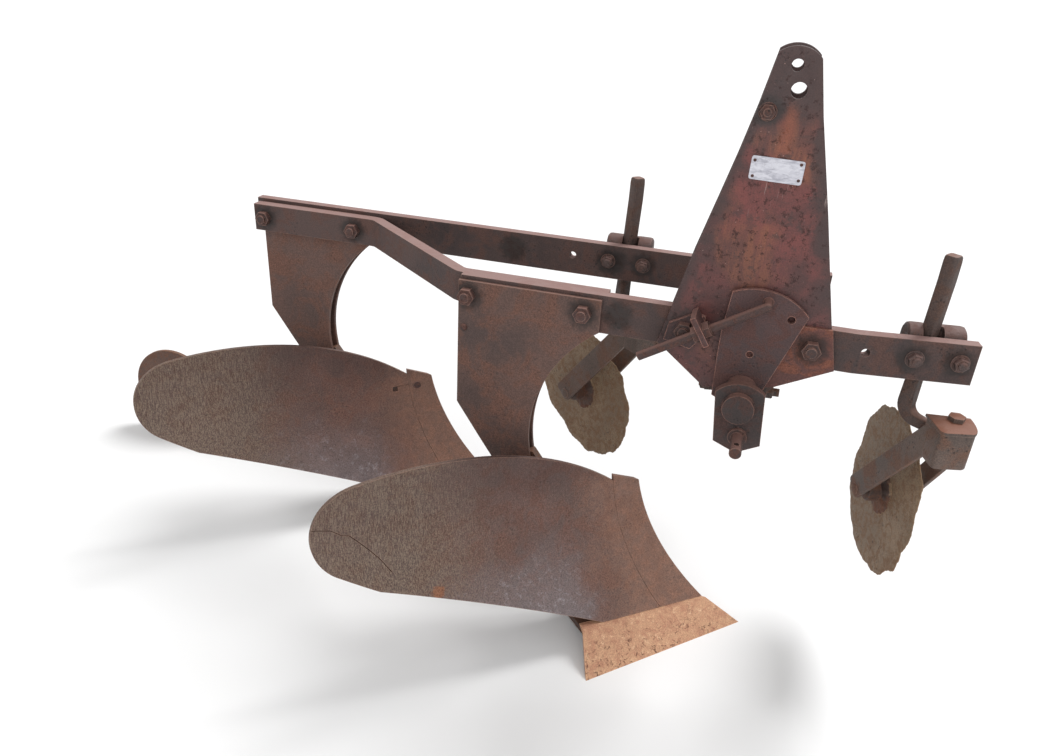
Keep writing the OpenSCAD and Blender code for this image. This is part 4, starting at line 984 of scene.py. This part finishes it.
def crack_shade_mesh(name):
    """A thin dark ribbon inside each board along its crack, halfway through: painted shade in the crack."""
    bm = bmesh.new()
    for path, shift in ((FRONT_CRACK, FRONT_SHIFT), (REAR_CRACK, REAR_SHIFT)):
        rings = []
        for k, (along, up) in enumerate(path):
            before, after = path[max(k - 1, 0)], path[min(k + 1, len(path) - 1)]
            step = Vector((after[0] - before[0], after[1] - before[1])).normalized() * CRACK_HALF
            ring = []
            for side, depth in ((1, CRACK_NEAR), (-1, CRACK_NEAR), (-1, CRACK_FAR), (1, CRACK_FAR)):
                spot, out = board_point(along - step.y * side, up + step.x * side, shift)
                ring.append(spot - out * depth)
            rings.append(ring)
        loft(bm, rings)
    return finished_mesh(name, bm)


# The ribbon takes the darkest steel finish, as painted shade inside the cracks.
add_piece("crack_shade", crack_shade_mesh("crack_shade"), "crank_steel", "frame")


# The cross shaft's bearing, drawn again: its side outline as (x, z), and its clamping bolt.
BEARING_OUTLINE = [(-0.024, 0.640), (0.086, 0.652), (0.100, 0.668), (0.102, 0.7135), (-0.018, 0.7135),
                   (-0.032, 0.664)]
BEARING_Y, BEARING_WIDE, BEARING_SOFT = 0.0262, 0.046, 0.002
BEARING_BOLT_START = (-0.036, 0.026, 0.6440)
BEARING_BOLT = [(0.0, 0.0), (0.0065, 0.0), (0.0078, 0.0015), (0.0078, 0.150), (0.0, 0.150)]


def bearing_mesh(name):
    """The block that carries the cross shaft between the mast's feet, with its clamping bolt along it."""
    bm = bmesh.new()
    add_slab(bm, BEARING_OUTLINE, [], BEARING_WIDE, BEARING_SOFT, at_origin(y=BEARING_Y) @ UPRIGHT)
    near, way = at_origin(*BEARING_BOLT_START).translation, Vector((1, 0, 0.03)).normalized()
    lathe(bm, near, way, BEARING_BOLT, turns=24)
    add_hex(bm, near + way * 0.0125, -way, 0.0125, 0.010)
    add_hex(bm, near + way * 0.1265, way, 0.0135, 0.012)
    return finished_mesh(name, bm, 30.0)


bearing = add_piece("drawn_bearing", bearing_mesh("drawn_bearing"), "frog_iron", "frame")
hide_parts("shaft_bearing")


# The studio: a pale floor, an even white surround, two suns and the photograph's camera.
FLOOR_HALF, FLOOR_GREY, FLOOR_ROUGH = 80.0, 0.86, 0.9
SURROUND_LIGHT, SURROUND_SEEN = 0.62, 1.0
CAMERA_PLACE = (0.61504, -1.595624, 1.36966)
CAMERA_AHEAD, CAMERA_RIGHT = (-0.21651, 0.86311, -0.45626), (0.96152, 0.26948, 0.05349)
SENSOR_WIDTH = 36.0


def add_floor():
    material, _, shader, _ = start_finish("floor", 0.0)
    shader.inputs["Base Color"].default_value = (FLOOR_GREY, FLOOR_GREY, FLOOR_GREY, 1.0)
    shader.inputs["Roughness"].default_value = FLOOR_ROUGH
    mesh = bpy.data.meshes.new("floor")
    s = FLOOR_HALF
    mesh.from_pydata([(-s, -s, 0), (s, -s, 0), (s, s, 0), (-s, s, 0)], [], [(0, 1, 2, 3)])
    floor = bpy.data.objects.new("floor", mesh)
    bpy.context.scene.collection.objects.link(floor)
    mesh.materials.append(material)


def add_world():
    """A white surround that looks brighter to the camera and in reflections than it lights."""
    world = bpy.data.worlds.new("studio")
    bpy.context.scene.world = world
    world.use_nodes = True
    b = Bench(world.node_tree)
    back = world.node_tree.nodes["Background"]
    light = b.node("ShaderNodeLightPath")
    seen = b.maths("MAXIMUM", light.outputs["Is Camera Ray"], light.outputs["Is Glossy Ray"])
    back.inputs["Color"].default_value = (1.0, 1.0, 1.0, 1.0)
    b.feed(back.inputs["Strength"], b.window(seen, 0.0, 1.0, SURROUND_LIGHT, SURROUND_SEEN))


def add_sun(name, strength, angle, toward):
    lamp = bpy.data.lights.new(name, "SUN")
    lamp.energy = strength
    lamp.angle = math.radians(angle)
    lamp_object = bpy.data.objects.new(name, lamp)
    lamp_object.rotation_euler = Vector(toward).to_track_quat("-Z", "Y").to_euler()
    bpy.context.scene.collection.objects.link(lamp_object)


def add_camera():
    """The camera that was fitted to the photograph."""
    lens = bpy.data.cameras.new("camera")
    lens.sensor_width = SENSOR_WIDTH
    lens.sensor_fit = "HORIZONTAL"
    lens.lens = SENSOR_WIDTH * FOCAL_PIXELS / PHOTO_WIDTH
    lens.clip_start, lens.clip_end = 0.05, 300.0
    camera = bpy.data.objects.new("camera", lens)
    ahead = Vector(CAMERA_AHEAD).normalized()
    right = Vector(CAMERA_RIGHT)
    right = (right - ahead * right.dot(ahead)).normalized()
    up = right.cross(ahead)
    turn = Matrix((right, up, -ahead)).transposed().to_4x4()
    camera.matrix_world = Matrix.Translation(CAMERA_PLACE) @ turn
    bpy.context.scene.collection.objects.link(camera)
    bpy.context.scene.camera = camera


add_floor()
add_world()
add_sun("window_light", 2.1, 22.0, (-0.32, -0.42, -0.85))
add_sun("fill_light", 1.1, 70.0, (-0.15, 0.95, -0.30))
add_camera()
bpy.context.scene.view_settings.view_transform = "Standard"
